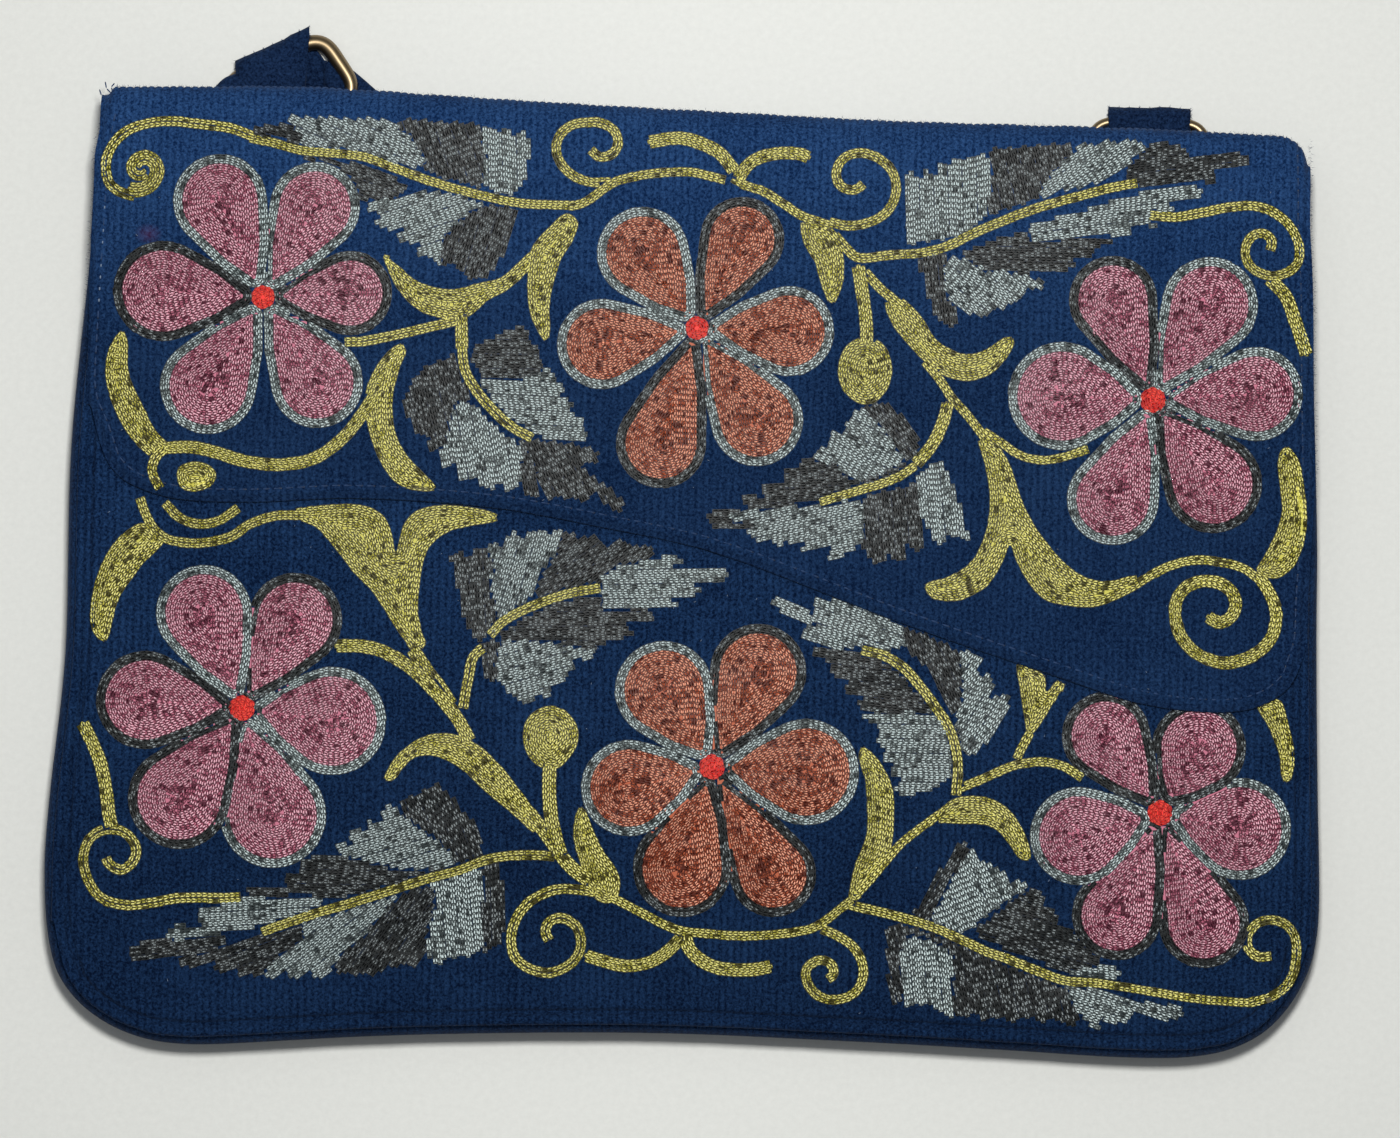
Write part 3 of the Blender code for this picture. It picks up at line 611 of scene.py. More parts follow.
def panel_cloth():
    xs = rib_columns(PANEL_LOW.x, PANEL_HIGH.x)
    inside = np.clip(xs, panel_xs[0], panel_xs[-1])
    end = np.interp(inside, panel_xs, panel_end)
    cover = np.interp(inside, flap_xs, flap_end) + 0.010
    top = np.full_like(xs, PANEL_HIGH.y)
    seam = 0.0081
    shares = [(0, t) for t in np.linspace(0, 1, SEAM_ROWS + 1)]
    shares += [(1, t) for t in np.linspace(0, 1, PANEL_ROWS + 1)[1:]]
    shares += [(2, t) for t in np.linspace(0, 1, HIDDEN_ROWS + 1)[1:]]
    rows = []
    for part, t in shares:
        y = (end + seam * t, end + seam + (cover - end - seam) * t, cover + (top - cover) * t)[part]
        left, right = panel_sides(y)
        x = np.clip(xs, left, right)
        rows.append(np.stack([x, y, panel_height(x, y) + rib(x)], 1))
    edge = rows[0]
    rows.insert(0, edge + (0, -0.0002, -0.0008))
    rows.insert(0, edge + (0, 0.0006, -PANEL_CLOTH))
    grid = np.array(rows)
    for column, sign in ((0, 1), (-1, -1)):
        side = grid[:, column]
        under = np.stack([side + (-sign * 0.0002, 0, -0.0008), side + (sign * 0.0006, 0, -PANEL_CLOTH)], 1)
        grid = np.concatenate([under[:, ::-1], grid], 1) if column == 0 else np.concatenate([grid, under], 1)
    rows_count, columns = grid.shape[:2]
    points = grid.reshape(-1, 3)
    quads = without_slivers(points, grid_faces(rows_count, columns))
    return mesh_piece("front_panel_cloth", points, [quads], [PANEL_CORD])


def body_outline(count=420):
    """The gusset's outermost line, from the right top round the bottom to the left top."""
    low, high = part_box("gusset")
    centre = np.array([0.0, -0.020])
    start = math.atan2(high.y - 0.0006 - centre[1], high.x - 0.008)
    end = math.atan2(high.y - 0.0006 - centre[1], low.x + 0.008)
    result = []
    for angle in np.linspace(start, end - math.tau, count):
        heading = np.array([math.cos(angle), math.sin(angle)])
        outside = 0.24
        inside = outside
        while inside > 0.08 and top_of("gusset", *(centre + heading * inside)) is None:
            inside -= 0.0012
        edge = last_hit("gusset", centre + heading * inside, centre + heading * (inside + 0.0014), 8)
        result.append(edge)
    line = np.array(result)
    return np.stack([soft(line[:, 0], 6), soft(line[:, 1], 6)], 1)


def gusset_cloth():
    line = body_outline()
    line[:, 0] -= np.where(line[:, 0] > 0, np.interp(line[:, 1], (0.0, 0.060), (0.0, 0.0013)), 0.0)
    along = np.gradient(line, axis=0)
    along /= np.linalg.norm(along, axis=1)[:, None]
    inward = np.stack([-along[:, 1], along[:, 0]], 1)
    inward *= np.sign(((np.array([0, -0.02]) - line) * inward).sum(1))[:, None]
    low = []
    for point, turn in zip(line, inward):
        place = point + turn * 0.0012
        foot = foot_of("gusset", *place)
        low.append(0.006 if foot is None else foot)
    low = soft(low, 12) - 0.0006
    high = 0.0163
    steps = 16
    rows = []
    for step in range(steps + 1):
        angle = math.pi * (step / steps - 0.5)
        depth = 0.0042 * (1 - math.cos(angle)) - 0.0002
        z = (low + high) / 2 + (high - low) / 2 * math.sin(angle)
        z = z + 0.0002 * wave_noise(line[:, 0], line[:, 1] + step * 0.002, 0.02, 4)
        rows.append(np.concatenate([line + inward * depth, z[:, None]], 1))
    grid = np.array(rows)
    return mesh_piece("gusset_cloth", grid.reshape(-1, 3), [grid_faces(*grid.shape[:2])], [PANEL_CORD])


def dressed(node, name, look, edge, cut, crumple=0.0001):
    """A sewn band or panel of the frame with soft edges and a slightly uneven face."""
    work = bmesh.new()
    work.from_mesh(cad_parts[node].data)
    bmesh.ops.remove_doubles(work, verts=work.verts, dist=3e-6)
    bmesh.ops.recalc_face_normals(work, faces=work.faces)
    sharp = [item for item in work.edges if len(item.link_faces) == 2 and item.calc_face_angle(0) > 0.9]
    bmesh.ops.bevel(work, geom=sharp, offset=edge, segments=2, affect="EDGES", clamp_overlap=True)
    for _ in range(9):
        bmesh.ops.triangulate(work, faces=[face for face in work.faces if len(face.verts) > 3])
        long = [item for item in work.edges if item.calc_length() > cut]
        if not long or len(work.faces) > 60000:
            break
        bmesh.ops.subdivide_edges(work, edges=long, cuts=1)
    bmesh.ops.triangulate(work, faces=[face for face in work.faces if len(face.verts) > 4])
    bmesh.ops.recalc_face_normals(work, faces=work.faces)
    mesh = bpy.data.meshes.new(name)
    work.to_mesh(mesh)
    work.free()
    points = np.array([v.co for v in mesh.vertices])
    normals = np.array([v.normal for v in mesh.vertices])
    lift = crumple * wave_noise(points[:, 0] + points[:, 2], points[:, 1] - points[:, 2], 0.009, 31)
    lift -= 0.00006
    points = points + normals * lift[:, None]
    points[:, 2] = np.maximum(points[:, 2], 0.0)
    mesh.vertices.foreach_set("co", points.astype(np.float32).ravel())
    mesh.materials.clear()
    mesh.materials.append(look)
    mesh.polygons.foreach_set("use_smooth", np.full(len(mesh.polygons), True))
    mesh.polygons.foreach_set("material_index", np.zeros(len(mesh.polygons), np.int32))
    mesh.update()
    piece = bpy.data.objects.new(name, mesh)
    bpy.context.scene.collection.objects.link(piece)
    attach(piece, "root")
    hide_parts(node)
    return piece


# Rings: the frame's own centreline as a round wire

def ring_wire(side):
    node = "ring_" + side
    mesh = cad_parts[node].data
    points = np.array([v.co for v in mesh.vertices])
    points = np.unique(points.round(7), axis=0)
    middle = points.mean(0)
    _, _, axes = np.linalg.svd(points - middle, full_matrices=False)
    first, second = Vector(axes[0]), Vector(axes[1])
    count = 120
    path = []
    for step in range(count):
        angle = math.tau * step / count
        heading = first * math.cos(angle) + second * math.sin(angle)
        near = TREES[node].ray_cast(Vector(middle), heading)[0]
        far = TREES[node].ray_cast(Vector(middle) + heading * 0.05, -heading)[0]
        path.append((near + far) / 2)
    path = np.array(path)
    for _ in range(3):
        path = (np.roll(path, 1, 0) + 2 * path + np.roll(path, -1, 0)) / 4
    rise = (path[:, 1] - path[:, 1].min()) / np.ptp(path[:, 1])
    radii = 0.00125 + 0.00070 * smooth(rise) * (side == "left")
    normal = np.cross(axes[0], axes[1])
    sides = 16
    rings = []
    for index in range(count):
        along = path[(index + 1) % count] - path[index - 1]
        along /= np.linalg.norm(along)
        across = np.cross(along, normal)
        for corner in range(sides):
            angle = math.tau * corner / sides
            offset = across * math.cos(angle) + normal * math.sin(angle)
            rings.append(path[index] + offset * radii[index])
    index = np.arange(count * sides).reshape(count, sides)
    after = np.roll(index, -1, 0)
    quads = np.stack([index, np.roll(index, -1, 1), np.roll(after, -1, 1), after], -1).reshape(-1, 4)
    piece = mesh_piece("wire_" + side, rings, [quads], [BRASS])
    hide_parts(node)
    return piece


# Embroidery chart

def smooth_line(points, spacing, closed=False):
    """A smooth line through chart points, sampled at an even spacing."""
    points = np.asarray(points, float)
    if closed:
        padded = np.concatenate([points[-1:], points, points[:2]])
    else:
        padded = np.concatenate([[2 * points[0] - points[1]], points, [2 * points[-1] - points[-2]]])
    t = np.linspace(0, 1, 9)[:-1, None]
    fine = []
    for a, b, c, d in zip(padded, padded[1:], padded[2:], padded[3:]):
        fine.append(0.5 * (2 * b + (c - a) * t + (2 * a - 5 * b + 4 * c - d) * t ** 2
                           + (3 * b - a - 3 * c + d) * t ** 3))
    fine = np.concatenate(fine)
    fine = np.concatenate([fine, fine[:1] if closed else points[-1:]])
    return even(fine, spacing)


def even(line, spacing):
    steps = np.linalg.norm(np.diff(line, axis=0), axis=1)
    total = np.concatenate([[0], np.cumsum(steps)])
    count = max(1, int(round(total[-1] / spacing)))
    at = np.linspace(0, total[-1], count + 1)
    return np.stack([np.interp(at, total, line[:, axis]) for axis in (0, 1)], 1)


def is_inside(points, outline):
    x, y = points[:, 0:1], points[:, 1:2]
    a, b = outline, np.roll(outline, -1, 0)
    crosses = (a[None, :, 1] > y) != (b[None, :, 1] > y)
    rise = np.where(b[:, 1] == a[:, 1], 1e-9, b[:, 1] - a[:, 1])
    at = a[None, :, 0] + (y - a[None, :, 1]) / rise[None] * (b[:, 0] - a[:, 0])[None]
    return (crosses & (x < at)).sum(1) % 2 == 1


def runs_of(points, keep):
    """The unbroken runs of a closed line where keep holds."""
    if keep.all():
        return [np.concatenate([points, points[:1]])]
    start = int(np.argmin(keep))
    points, keep = np.roll(points, -start, 0), np.roll(keep, -start)
    runs, run = [], []
    for point, good in zip(points, keep):
        if good:
            run.append(point)
        elif run:
            runs.append(np.array(run))
            run = []
    if run:
        runs.append(np.array(run))
    return [run for run in runs if len(run) > 1]


def rings_inside(outline, first=0.5, sharp=False):
    """Rows that follow a closed outline inwards, one row pitch apart."""
    line = even(np.concatenate([outline, outline[:1]]), 2.0)[:-1] if sharp \
        else smooth_line(outline, 2.0, closed=True)[:-1]
    area = np.sum(line[:, 0] * np.roll(line[:, 1], -1) - np.roll(line[:, 0], -1) * line[:, 1])
    if area < 0:
        line = line[::-1]
    along = np.roll(line, -1, 0) - np.roll(line, 1, 0)
    along /= np.maximum(np.linalg.norm(along, axis=1), 1e-9)[:, None]
    inward = np.stack([-along[:, 1], along[:, 0]], 1)
    closed = np.concatenate([line, line[:1]])
    result = []
    depth = first * ROW_PITCH
    while depth < 90:
        moved = line + inward * depth
        away = away_from(closed, moved[:, 0], moved[:, 1])
        keep = (away > depth - 0.45) & is_inside(moved, line)
        runs = runs_of(moved, keep)
        if not runs:
            break
        result.append(runs)
        depth += ROW_PITCH
    return result


def rows_across(outline, heading):
    """Straight rows through a closed outline."""
    line = smooth_line(outline, 2.5, closed=True)[:-1]
    heading = np.array(heading, float) / np.hypot(*heading)
    side = np.array([-heading[1], heading[0]])
    u, v = line @ heading, line @ side
    result = []
    level, index = v.min() + ROW_PITCH * 0.45, 0
    while level < v.max():
        outer = index % FINGER_ROWS != FINGER_ROWS // 2
        trim = FINGER_TRIM if outer else 0.0
        before, after = v - level, np.roll(v, -1) - level
        cross = (before > 0) != (after > 0)
        share = before[cross] / (before[cross] - after[cross])
        at = np.sort(u[cross] + share * (np.roll(u, -1)[cross] - u[cross]))
        for start, stop in zip(at[::2] + trim, at[1::2] - trim):
            if stop - start > 3:
                bow = np.linspace(start, stop, max(2, int((stop - start) / 4) + 1))
                result.append((bow[:, None] * heading + level * side, 0.08 if outer else -0.04))
        index += 1
        level += ROW_PITCH + (FINGER_GAP if index % FINGER_ROWS == 0 else 0.0)
    return result


def rows_along(points, width):
    """Rows side by side along a line, its ends rounded."""
    line = smooth_line(points, 2.0)
    along = np.gradient(line, axis=0)
    along /= np.maximum(np.linalg.norm(along, axis=1), 1e-9)[:, None]
    side = np.stack([-along[:, 1], along[:, 0]], 1)
    count = max(1, int(round(width / ROW_PITCH)))
    spacing = width / count
    result = []
    for index in range(count):
        offset = (index - (count - 1) / 2) * spacing
        reach = width / 2 - math.sqrt(max(0.0, (width / 2) ** 2 - offset ** 2))
        cut = int(round(reach / 2.0))
        row = line + side * offset
        row = row[cut:len(row) - cut] if cut else row
        if len(row) > 2:
            result.append(row)
    return result


def petal_outline(heart, blob, radius):
    """A teardrop: straight sides from the flower's heart to a round end."""
    heart, blob = np.array(heart, float), np.array(blob, float)
    out = blob - heart
    radius = radius + 1.0
    size = np.hypot(*out)
    out /= size
    side = np.array([-out[1], out[0]])
    tip = heart + out * 11
    spread = math.asin(min(0.95, radius / size))
    touch, wide = size - radius * math.sin(spread), radius * math.cos(spread)
    half = heart + out * (11 + touch) / 2
    full = (6.2 + wide) / 2 * 1.15
    points = [blob + radius * (out * math.cos(a) + side * math.sin(a)) for a in np.linspace(0, math.tau, 49)[:-1]]
    points += [half + side * full, tip + side * 6.2, tip - side * 6.2, half - side * full]
    return hull(points)


def hull(points):
    """The convex outline of a few points."""
    points = sorted(tuple(point) for point in points)
    outline = []
    for line in (points, points[::-1]):
        part = []
        for point in line:
            while len(part) > 1 and ((part[-1][0] - part[-2][0]) * (point[1] - part[-2][1])
                                     <= (part[-1][1] - part[-2][1]) * (point[0] - part[-2][0])):
                part.pop()
            part.append(point)
        outline += part[:-1]
    return np.array(outline)


# Each flower: its heart, thread and petals as round ends with their radius and outline thread
FLAP_FLOWERS = [
    ((263, 297), 12, "pink", [
        (220, 201, 46, "silver"), (315, 207, 44, "silver"), (350, 293, 41, "black"),
        (163, 291, 49, "black"), (208, 386, 47, "silver"), (317, 382, 45, "silver")]),
    ((697, 328), 12, "peach", [
        (643, 253, 45, "silver"), (742, 239, 41, "black"), (789, 331, 44, "silver"),
        (602, 344, 44, "silver"), (661, 443, 44, "black"), (757, 420, 45, "silver")]),
    ((1153, 400), 13, "pink", [
        (1062, 396, 53, "silver"), (1113, 300, 43, "black"), (1210, 305, 47, "silver"),
        (1256, 394, 46, "silver"), (1213, 484, 48, "black"), (1113, 499, 45, "silver")]),
]
PANEL_FLOWERS = [
    ((242, 708), 13, "pink", [
        (204, 613, 47, "silver"), (295, 620, 46, "black"), (145, 700, 48, "black"),
        (332, 721, 53, "silver"), (179, 798, 50, "black"), (273, 815, 52, "silver")]),
    ((1160, 813), 13, "pink", [
        (1106, 736, 43, "black"), (1199, 748, 46, "black"), (1079, 836, 48, "silver"),
        (1240, 829, 50, "silver"), (1117, 915, 44, "black"), (1204, 923, 44, "black")]),
    ((712, 767), 13, "peach", [
        (664, 690, 48, "silver"), (758, 672, 47, "black"), (629, 788, 47, "silver"),
        (806, 772, 52, "silver"), (682, 868, 48, "black"), (773, 874, 42, "black")]),
]

# Stems, ribs of leaves and curls: width and the points they run through
FLAP_STEMS = [
    (11, [(252, 136), (230, 128), (200, 124), (170, 121), (145, 124), (125, 132), (112, 146), (106, 162),
          (108, 180), (115, 189), (126, 194), (134, 196)]),
    (15, [(128, 189), (139, 190), (150, 185), (157, 174), (155, 163), (146, 157), (137, 160), (133, 168),
          (139, 174), (145, 170)]),
    (9, [(250, 138), (275, 143), (300, 150), (332, 153), (365, 157), (400, 170), (440, 184), (480, 195),
         (520, 203), (560, 205), (577, 205), (590, 199), (605, 188), (620, 180), (650, 174), (690, 172),
         (725, 180)]),
    (10, [(610, 182), (590, 182), (572, 175), (560, 162), (556, 148), (560, 135), (572, 125), (590, 122),
          (605, 124), (616, 133), (618, 145), (612, 154), (600, 157), (591, 150)]),
    (13, [(648, 142), (680, 138), (705, 145), (722, 155), (735, 172)]),
    (12, [(738, 180), (745, 168), (758, 158), (780, 153), (800, 154), (810, 158)]),
    (9, [(733, 178), (745, 185), (765, 192), (785, 205), (805, 217), (830, 225)]),
    (10, [(830, 222), (850, 226), (875, 220), (890, 208), (896, 192), (894, 175), (884, 162), (868, 154),
          (852, 154), (840, 162), (836, 175), (842, 187), (855, 190), (863, 184)]),
    (10, [(835, 235), (848, 250), (860, 258), (890, 255), (920, 253), (945, 247), (970, 235), (1000, 222),
          (1040, 207), (1080, 196), (1110, 188), (1137, 183)]),
    (13, [(858, 265), (862, 290), (866, 320), (867, 345)]),
    (10, [(862, 268), (880, 288), (900, 305)]),
    (10, [(1150, 215), (1175, 217), (1200, 213), (1230, 207), (1255, 206), (1275, 213), (1290, 226),
          (1299, 245), (1298, 262), (1288, 272), (1270, 276), (1252, 268), (1245, 253), (1250, 238),
          (1262, 233), (1272, 240), (1270, 250)]),
    (13, [(1268, 278), (1285, 295), (1295, 320), (1307, 356)]),
    (12, [(461, 314), (462, 350)]),
    (11, [(462, 348), (465, 370), (478, 393), (495, 412), (512, 427), (532, 438)]),
    (10, [(455, 321), (430, 327), (400, 334), (365, 341), (345, 342)]),
    (12, [(165, 448), (190, 447), (215, 452), (240, 460), (265, 464), (290, 464), (315, 458), (335, 445),
          (350, 430), (365, 410), (375, 395)]),
    (10, [(163, 450), (155, 458), (152, 472), (160, 488)]),
    (9, [(925, 362), (940, 380), (952, 398), (965, 412), (975, 425), (985, 438)]),
    (8, [(975, 425), (1000, 442), (1020, 455), (1040, 460), (1060, 458), (1088, 449)]),
    (12, [(948, 402), (943, 422), (932, 445), (915, 465)]),
    (9, [(915, 466), (900, 476), (880, 484), (850, 493), (820, 502)]),
    (9, [(1135, 585), (1150, 576), (1170, 566), (1195, 560), (1220, 562), (1243, 568), (1260, 580)]),
    (12, [(1256, 574), (1268, 590), (1276, 612), (1273, 634), (1262, 649), (1245, 659), (1225, 663),
          (1205, 658), (1190, 648), (1179, 632), (1175, 612), (1178, 597), (1188, 586), (1203, 581),
          (1219, 583), (1231, 591), (1236, 604), (1231, 617), (1219, 623), (1207, 616)]),
]
PANEL_STEMS = [
    (10, [(140, 498), (146, 515), (155, 530), (170, 540), (200, 543), (230, 537), (250, 524), (275, 516),
          (305, 515)]),
    (10, [(165, 503), (180, 518), (200, 524), (220, 520), (238, 508)]),
    (13, [(335, 646), (360, 646), (382, 651), (402, 662), (420, 676), (440, 697), (455, 715), (464, 730),
          (470, 742)]),
    (14, [(412, 648), (425, 668), (440, 688), (452, 706)]),
    (11, [(483, 648), (473, 657), (469, 675), (466, 690), (463, 708)]),
    (10, [(490, 635), (505, 620), (530, 607), (560, 596), (580, 591), (600, 588)]),
    (14, [(550, 765), (549, 790), (551, 815), (555, 835), (561, 856)]),
    (14, [(528, 812), (543, 830), (556, 848), (570, 866), (590, 882)]),
    (10, [(262, 932), (290, 922), (320, 912), (345, 905), (370, 897), (395, 889), (430, 878), (460, 870),
          (480, 862), (500, 857), (530, 855), (560, 858), (577, 869), (595, 886)]),
    (11, [(600, 893), (580, 890), (560, 889), (543, 894), (527, 904), (515, 921), (511, 940), (515, 957),
          (528, 968), (548, 973), (566, 967), (578, 955), (581, 940), (576, 926), (563, 918), (550, 921),
          (545, 931), (549, 940)]),
    (12, [(585, 955), (600, 960), (625, 966), (650, 962), (668, 951), (681, 937)]),
    (9, [(613, 898), (640, 912), (665, 925), (682, 931), (700, 933), (740, 936), (780, 934), (810, 929),
         (825, 921), (840, 909), (852, 900)]),
    (13, [(685, 936), (690, 950), (705, 963), (725, 969), (750, 970), (772, 966)]),
    (10, [(822, 929), (840, 937), (855, 949), (863, 966), (861, 984), (850, 996), (833, 1000), (817, 995),
          (807, 982), (807, 968), (819, 960), (831, 964), (834, 974), (828, 979)]),
    (10, [(850, 905), (880, 912), (900, 917), (930, 926), (960, 939), (985, 951), (1005, 958), (1030, 968),
          (1062, 980), (1080, 982), (1099, 983)]),
    (8, [(940, 814), (915, 832), (900, 845), (885, 862), (870, 880), (858, 893)]),
    (11, [(862, 650), (885, 656), (905, 669), (920, 686), (935, 706), (948, 726), (955, 745), (958, 768),
          (956, 795)]),
    (9, [(955, 790), (980, 780), (1000, 771), (1020, 764), (1045, 762), (1065, 767), (1082, 778)]),
    (9, [(1030, 733), (1022, 748), (1014, 764)]),
    (8, [(1098, 983), (1130, 988), (1160, 993), (1190, 998), (1220, 1001), (1250, 1003)]),
    (10, [(1250, 1003), (1275, 995), (1290, 981), (1296, 962), (1296, 942), (1289, 927), (1274, 920),
          (1258, 923), (1248, 935), (1248, 948), (1258, 957), (1271, 956)]),
    (13, [(82, 722), (92, 742), (101, 765), (106, 790), (109, 815), (112, 828)]),
    (11, [(240, 897), (220, 898), (180, 898), (150, 903), (125, 905), (103, 899), (90, 884), (83, 862),
          (87, 843), (98, 832), (112, 829), (127, 834), (136, 848), (133, 862), (121, 870), (110, 865),
          (106, 858)]),
]

# Filled shapes in the green thread: closed outlines
FLAP_GREENS = [
    [(566, 213), (548, 228), (532, 247), (528, 270), (528, 300), (533, 322), (546, 343), (550, 330),
     (550, 300), (560, 262), (573, 240), (578, 222)],
    [(384, 256), (400, 267), (415, 280), (435, 287), (455, 289), (478, 283), (503, 276), (532, 250),
     (536, 262), (510, 288), (488, 300), (475, 312), (458, 321), (440, 318), (420, 311), (402, 295),
     (390, 275)],
    [(803, 217), (801, 232), (806, 248), (815, 262), (821, 284), (831, 305), (840, 292), (844, 275),
     (843, 252), (836, 232), (820, 219)],
    [(865, 337), (884, 345), (892, 366), (888, 388), (874, 403), (858, 403), (843, 390), (838, 368),
     (846, 346)],
    [(885, 302), (900, 297), (920, 315), (935, 338), (950, 349), (967, 354), (985, 350), (1000, 340),
     (1010, 336), (1015, 342), (1008, 356), (998, 368), (985, 377), (965, 381), (945, 376), (925, 362),
     (905, 341), (891, 322)],
    [(122, 330), (109, 348), (105, 370), (108, 390), (115, 410), (126, 431), (141, 449), (156, 459),
     (170, 447), (155, 430), (145, 410), (135, 390), (128, 370), (128, 345)],
    [(400, 343), (382, 358), (368, 383), (365, 408), (369, 432), (378, 457), (390, 477), (403, 487),
     (420, 491), (436, 489), (425, 474), (410, 459), (398, 440), (393, 420), (393, 395), (399, 370),
     (406, 352)],
    [(178, 468), (190, 462), (205, 463), (216, 472), (213, 484), (200, 491), (184, 490), (177, 480)],
    [(975, 425), (987, 438), (1002, 450), (1012, 470), (1022, 500), (1033, 523), (1047, 543), (1066, 564),
     (1088, 578), (1110, 581), (1138, 575), (1142, 585), (1120, 598), (1095, 607), (1070, 606), (1045, 600),
     (1028, 582), (1016, 560), (1010, 544), (1003, 561), (990, 583), (975, 594), (955, 601), (932, 598),
     (925, 584), (950, 576), (971, 562), (983, 540), (989, 515), (989, 490), (985, 465), (978, 442)],
    [(1286, 446), (1278, 460), (1280, 490), (1282, 510), (1275, 535), (1263, 558), (1256, 572), (1275, 579),
     (1291, 570), (1302, 550), (1307, 522), (1305, 492), (1299, 461)],
]
PANEL_GREENS = [
    [(146, 523), (130, 528), (113, 544), (101, 565), (93, 590), (90, 615), (93, 632), (103, 642),
     (109, 636), (113, 618), (119, 598), (131, 580), (142, 565), (155, 552), (164, 540)],
    [(296, 509), (340, 504), (365, 506), (384, 516), (392, 535), (396, 553), (403, 526), (416, 511),
     (440, 505), (470, 507), (492, 512), (501, 518), (490, 523), (470, 526), (450, 531), (435, 541),
     (425, 556), (419, 590), (418, 612), (422, 632), (426, 645), (414, 652), (405, 641), (397, 630),
     (385, 611), (371, 590), (354, 573), (337, 551), (318, 529), (300, 520)],
    [(384, 779), (393, 760), (405, 748), (420, 738), (440, 733), (460, 736), (480, 746), (500, 765),
     (516, 785), (531, 805), (547, 825), (536, 834), (521, 822), (509, 811), (494, 799), (479, 786),
     (465, 772), (450, 762), (434, 756), (416, 757), (403, 768), (394, 780)],
    [(550, 706), (566, 711), (577, 726), (578, 742), (570, 757), (557, 769), (542, 768), (529, 757),
     (523, 741), (525, 723), (535, 711)],
    [(578, 808), (573, 830), (576, 850), (582, 870), (587, 888), (598, 901), (612, 903), (619, 892),
     (620, 880), (615, 867), (605, 853), (597, 838), (590, 822), (585, 809)],
    [(862, 746), (859, 760), (865, 780), (867, 805), (867, 830), (862, 848), (855, 865), (851, 882),
     (849, 900), (860, 899), (872, 883), (885, 866), (892, 845), (894, 815), (893, 790), (886, 772),
     (875, 756)],
    [(1017, 664), (1020, 690), (1024, 715), (1028, 735), (1037, 729), (1050, 709), (1063, 686), (1057, 680),
     (1046, 693), (1045, 676), (1030, 668)],
    [(925, 824), (940, 809), (958, 797), (985, 797), (1005, 806), (1018, 821), (1028, 842), (1031, 859),
     (1020, 859), (1010, 846), (1000, 833), (985, 825), (960, 824), (940, 823)],
    [(1256, 703), (1269, 728), (1279, 755), (1282, 779), (1290, 782), (1295, 758), (1290, 730), (1280, 700)],
]

